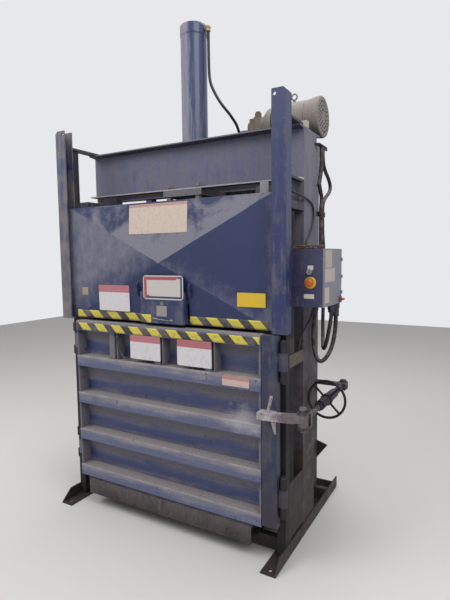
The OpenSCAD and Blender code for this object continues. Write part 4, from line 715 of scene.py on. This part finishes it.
def gate_surface(x, z):
    """The cross-broken plate's front: it rises in line with the nearer edge's distance."""
    rise = 1 - np.maximum(np.abs(x) / gate_half_wide, np.abs(z - gate_middle) / gate_half_high)
    return gate_rim_y - gate_peak * np.clip(rise, 0, 1)


def flat_surface(y):
    """An upright face with the same y all over."""
    return lambda x, z: np.full_like(x, y)


def hazard_vinyl(name, first, top, pitch):
    """Stripes that lean left by nearly 45 degrees: first is a yellow one's left end at top.

    pitch is a black and a yellow stripe in metres. It is yellow where x plus
    leaning times z, less the start's, has a fraction of the pitch under
    yellow_share. The ink is worn by a 20 mm noise and faded by one of 110 mm.
    """
    leaning, yellow_share = 0.95, 0.54
    mat = bare_material(name)
    where = add(mat, "TexCoord").outputs["Object"]
    place = add(mat, "SeparateXYZ", {0: where})
    lean = add(mat, "Math", {0: place.outputs["Z"], 1: leaning, 2: place.outputs["X"]},
               operation="MULTIPLY_ADD")
    lean = add(mat, "Math", {0: lean, 1: first + leaning * top}, operation="SUBTRACT")
    turns = add(mat, "Math", {0: lean, 1: 1 / pitch}, operation="MULTIPLY")
    part = add(mat, "Math", {0: turns}, operation="FRACT")
    stripe = add(mat, "MapRange", {"Value": part, "From Min": yellow_share - 0.005,
                                   "From Max": yellow_share + 0.005, "To Min": 1.0, "To Max": 0.0})
    cloud = add(mat, "TexNoise", {"Vector": where, "Scale": 55.0, "Detail": 8.0, "Roughness": 0.75})
    broad = add(mat, "TexNoise", {"Vector": where, "Scale": 9.0, "Detail": 4.0})
    rubbed = add(mat, "MapRange", {"Value": broad, "From Min": 0.42, "From Max": 0.66})
    ink = add(mat, "Mix", {0: rubbed, 6: linear("#3a353b"), 7: linear("#6d6569")}, data_type="RGBA")
    colour = add(mat, "Mix", {0: stripe, 6: ink, 7: linear("#d2c34c")}, data_type="RGBA")
    worn = add(mat, "MapRange", {"Value": cloud, "From Min": 0.54, "From Max": 0.68, "To Max": 0.8})
    final = add(mat, "Mix", {0: worn, 6: colour, 7: linear("#5b5148")}, data_type="RGBA")
    bsdf = add(mat, "BsdfPrincipled", {"Base Color": final, "Roughness": 0.55})
    add(mat, "OutputMaterial", {"Surface": bsdf})
    return mat


for tape_name, body, x0, x1, z0, z1, shape, first, pitch in (
    ("gate_tape_left", "gate", -0.700, -0.146, 1.2825, 1.331, gate_surface, -0.2887, 0.152),
    ("gate_tape_lap", "gate", -0.127, -0.048, 1.284, 1.332, flat_surface(-0.474), -0.122, 0.152),
    ("gate_tape_right", "gate", 0.206, 0.705, 1.2825, 1.331, gate_surface, 0.313, 0.134),
    ("rim_tape", "door", -0.668, 0.668, 1.203, 1.250, flat_surface(-0.479), 0.057, 0.1425),
):
    tape = tape_strip(tape_name, x0, x1, z0, z1, shape)
    tape.data.materials.append(hazard_vinyl("black and yellow vinyl, " + tape_name, first, z1,
                                            pitch))
    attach(tape, body)


# Plain plates and labels: aluminium sheet or vinyl with bare fields of colour,
# riveted or stuck on where the machine carries its signs.
def slab(name, corner, across, up, thick, radius):
    """A rounded rectangle: four quarter arcs round the outline, carried forward by thick.

    corner is the lower left of its back, across and up are its edges as vectors,
    all in metres, and its face looks along across x up.
    """
    corner, across, up = (np.array(v, dtype=float) for v in (corner, across, up))
    wide, high = np.linalg.norm(across), np.linalg.norm(up)
    out = np.cross(across, up) / (wide * high)
    angle = np.linspace(0, np.pi / 2, 6)
    arcs = []
    for turn, (cx, cz) in enumerate(((wide, high), (0, high), (0, 0), (wide, 0))):
        sx, sz = (-1 if cx else 1), (-1 if cz else 1)
        a = angle + turn * np.pi / 2
        arcs.append(np.stack([cx + sx * radius + radius * np.cos(a),
                              cz + sz * radius + radius * np.sin(a)], -1))
    flat_ring = np.vstack(arcs)
    ring = corner + flat_ring[:, :1] * across / wide + flat_ring[:, 1:] * up / high
    count = len(ring)
    points = np.vstack([ring + out * thick, ring])
    k = np.arange(count)
    rim = np.stack([k, k + count, (k + 1) % count + count, (k + 1) % count], -1)
    mesh = bpy.data.meshes.new(name)
    mesh.from_pydata(points.tolist(), [], [k.tolist(), (k[::-1] + count).tolist()] + rim.tolist())
    return placed(name, mesh)


def sign_face(name, field, head=None, head_from=0.7, low=0.0, high=1.0, grime=0.4):
    """A field of one colour, with a head band in another, under dirt in a 20 mm noise.

    The band begins at the share head_from of the height from low to high, in
    metres. grime is how thick the dirt gets.
    """
    mat = bare_material(name)
    where = add(mat, "TexCoord").outputs["Object"]
    colour = linear(field)
    if head:
        place = add(mat, "SeparateXYZ", {0: where})
        share = add(mat, "MapRange", {"Value": place.outputs["Z"], "From Min": low,
                                      "From Max": high})
        edge = add(mat, "Math", {0: share, 1: head_from}, operation="GREATER_THAN")
        colour = add(mat, "Mix", {0: edge, 6: colour, 7: linear(head)}, data_type="RGBA")
    cloud = add(mat, "TexNoise", {"Vector": where, "Scale": 45.0, "Detail": 7.0, "Roughness": 0.7})
    dirt = add(mat, "MapRange", {"Value": cloud, "From Min": 0.5, "From Max": 0.78,
                                 "To Max": grime})
    final = add(mat, "Mix", {0: dirt, 6: colour, 7: linear("#8a8077")}, data_type="RGBA")
    bsdf = add(mat, "BsdfPrincipled", {"Base Color": final, "Roughness": 0.5})
    add(mat, "OutputMaterial", {"Surface": bsdf})
    return mat


def badge_face(x0, x1, z0, z1):
    """White enamel with a frame: red at the top and left, dark blue at the foot and right.

    The frame is where the nearest edge is from frame_start to blue_end or red_end
    away, in metres. A point is on the red side where its share of the height is
    more than its share of the width.
    """
    frame_start, blue_end, red_end = 0.007, 0.019, 0.027
    mat = bare_material("enamelled badge with a red and blue frame")
    place = add(mat, "SeparateXYZ", {0: add(mat, "TexCoord").outputs["Object"]})
    across = add(mat, "MapRange", {"Value": place.outputs["X"], "From Min": x0, "From Max": x1})
    up = add(mat, "MapRange", {"Value": place.outputs["Z"], "From Min": z0, "From Max": z1})
    red_side = add(mat, "Math", {0: up, 1: across}, operation="GREATER_THAN")
    edges = []
    for axis, low, high in (("X", x0, x1), ("Z", z0, z1)):
        off = add(mat, "Math", {0: place.outputs[axis], 1: (low + high) / 2}, operation="SUBTRACT")
        off = add(mat, "Math", {0: off}, operation="ABSOLUTE")
        edges.append(add(mat, "Math", {0: (high - low) / 2, 1: off}, operation="SUBTRACT"))
    edge = add(mat, "Math", {0: edges[0], 1: edges[1]}, operation="MINIMUM")
    limit = add(mat, "MapRange", {"Value": red_side, "To Min": blue_end, "To Max": red_end})
    outer = add(mat, "Math", {0: edge, 1: frame_start}, operation="GREATER_THAN")
    inner = add(mat, "Math", {0: edge, 1: limit}, operation="LESS_THAN")
    frame = add(mat, "Math", {0: outer, 1: inner}, operation="MULTIPLY")
    line = add(mat, "Mix", {0: red_side, 6: linear("#39406a"), 7: linear("#a8545c")},
               data_type="RGBA")
    colour = add(mat, "Mix", {0: frame, 6: linear("#c9c3be"), 7: line}, data_type="RGBA")
    bsdf = add(mat, "BsdfPrincipled", {"Base Color": colour, "Roughness": 0.4})
    add(mat, "OutputMaterial", {"Surface": bsdf})
    return mat


def upright(name, body, x0, x1, z0, z1, y, *sign, face=None, grime=0.4, radius=0.003,
            thick=0.0015, tilt=0.0):
    """A plate that faces the front, its back at y, leaning by tilt metres at its top.

    sign is the name and field of its sign_face, and the head and head_from of one
    that has a head band. A plate with a face of its own has no sign.
    """
    made = slab(name, (x0, y, z0), (x1 - x0, 0, 0), (0, tilt, z1 - z0), thick, radius)
    made.data.materials.append(face or sign_face(*sign, low=z0, high=z1, grime=grime))
    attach(made, body)


# The y of a plate's back where it stands half a millimetre off the door's rim,
# the gate's cover and the control box.
on_rim, on_cover, on_box = -0.4795, -0.4745, -0.3371
sign_white = "#d6d3d6"
upright("door_sign_left", "door", -0.211, 0.019, 1.053, 1.200, on_rim,
        "white sign with a dull red head", sign_white, "#b8737b", 0.72, radius=0.008)
upright("door_sign_right", "door", 0.142, 0.375, 1.049, 1.200, on_rim,
        "white sign with a red head", sign_white, "#b06a70", 0.72, radius=0.008)
upright("gate_sign", "gate", -0.490, -0.236, 1.337, 1.501, -0.4435,
        "white sign on the gate", sign_white, "#b8737b", 0.72, radius=0.008, tilt=-0.004)
upright("gate_badge", "gate", -0.100, 0.189, 1.425, 1.567, on_cover,
        face=badge_face(-0.100, 0.189, 1.425, 1.567), radius=0.02, thick=0.002)
upright("gate_placard", "gate", -0.225, 0.202, 1.814, 1.990, -0.4455,
        "pale placard", "#cdbcae", "#b9948a", 0.9, grime=0.6, radius=0.004, tilt=0.011)
upright("gate_label_yellow", "gate", 0.518, 0.687, 1.402, 1.478, -0.4385,
        "yellow label", "#dcb62c", grime=0.3, radius=0.004)
upright("gate_label_tan", "gate", -0.650, -0.596, 1.432, 1.482, -0.4365,
        "worn tan label", "#a39178", grime=0.9)
upright("rib_label", "door", 0.441, 0.608, 0.968, 1.024, -0.4798,
        "pale pink label", "#cdb3ac", "#b98a80", 0.62, grime=0.5, thick=0.0008)
upright("cover_tag", "gate", -0.005, 0.070, 1.326, 1.388, on_cover,
        "grey metal tag", "#96908f", grime=0.5)
upright("cover_tag_loop", "gate", 0.022, 0.046, 1.390, 1.412, on_cover,
        "dull brass tag loop", "#77746a", radius=0.008)
upright("legend_plate", "frame", 0.880, 0.911, 1.600, 1.622, on_box,
        "white legend plate", "#d9d6cf")
upright("box_label", "frame", 0.861, 0.916, 1.449, 1.473, on_box,
        "pale box label", "#d8d2bd", grime=0.3, radius=0.002, thick=0.0008)
for label, y0, y1, z0, z1, tone in (
    ("cover_label_top", -0.322, -0.209, 1.609, 1.701, "#b3a69c"),
    ("cover_label_mid", -0.327, -0.156, 1.534, 1.605, "#b9aca6"),
    ("cover_label_low", -0.330, -0.253, 1.424, 1.507, "#c0aea9"),
):
    plate = slab(label, (0.970, y0, z0), (0, y1 - y0, 0), (0, 0, z1 - z0), 0.0008, 0.003)
    plate.data.materials.append(sign_face("pale cover label " + label[-3:], tone, grime=0.6))
    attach(plate, "frame")


# Four small pieces on the frame: a dark plate under the rear crosshead that
# stands in for the shade in the slot over the gate, as painted shade, and three
# welded ones: a pale tab on the right wall's fold, a cheek plate between corner
# post and column, and a stub of bare bar.
for piece, corner, across, up, thick, radius, skin, cad_slot in (
    # A dark plate that stands in for the shade in the slot over the gate: painted shade
    ("rear_shade_plate", (0.172, 0.077, 2.046), (0.300, 0, 0), (0, 0, 0.050), 0.006, 0.002,
     oiled_steel, "blue_paint"),
    ("wall_tab", (0.637, -0.3952, 1.995), (0.049, 0, 0), (0, 0, 0.068), 0.001, 0.002,
     sign_face("pale primer on a tab", "#918f90"), "grey_paint"),
    ("side_cheek", (0.750, -0.344, 1.970), (0, 0.210, 0), (0, 0, 0.122), 0.004, 0.002,
     side_grime_and_shade_enamel, "blue_paint"),
    ("column_stub", (0.748, -0.060, 2.388), (0.037, 0, 0), (0, 0, 0.042), 0.030, 0.004,
     sign_face("pale primer on a bar stub", "#b3a698"), "bare_steel"),
):
    made = slab(piece, corner, across, up, thick, radius)
    made.data.materials.append(skin)
    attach(made, "frame")


# Two odd bits of bent bar: a hook that hangs in the left tie slot and a thin rod
# stuck to the foot of the gate's cover, both cold-bent mild steel.
for bar_name, body, bar_r, skin, route in (
    ("tie_hook", "door", 5, oiled_steel,
     [(-352, -470, 1188), (-338, -474, 1176), (-318, -476, 1136), (-298, -478, 1096),
      (-276, -480, 1062), (-262, -480, 1052), (-236, -480, 1050)]),
    ("cover_rod", "gate", 2.2, lever_steel,
     [(-34, -477, 1312), (0, -477, 1309), (60, -477, 1304), (92, -477, 1303), (104, -477, 1309),
      (112, -477, 1305)]),
):
    bar = tube_mesh(bar_name, smooth_route(route), bar_r / 1000, sides=12)
    bar.data.materials.append(skin)
    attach(bar, body)
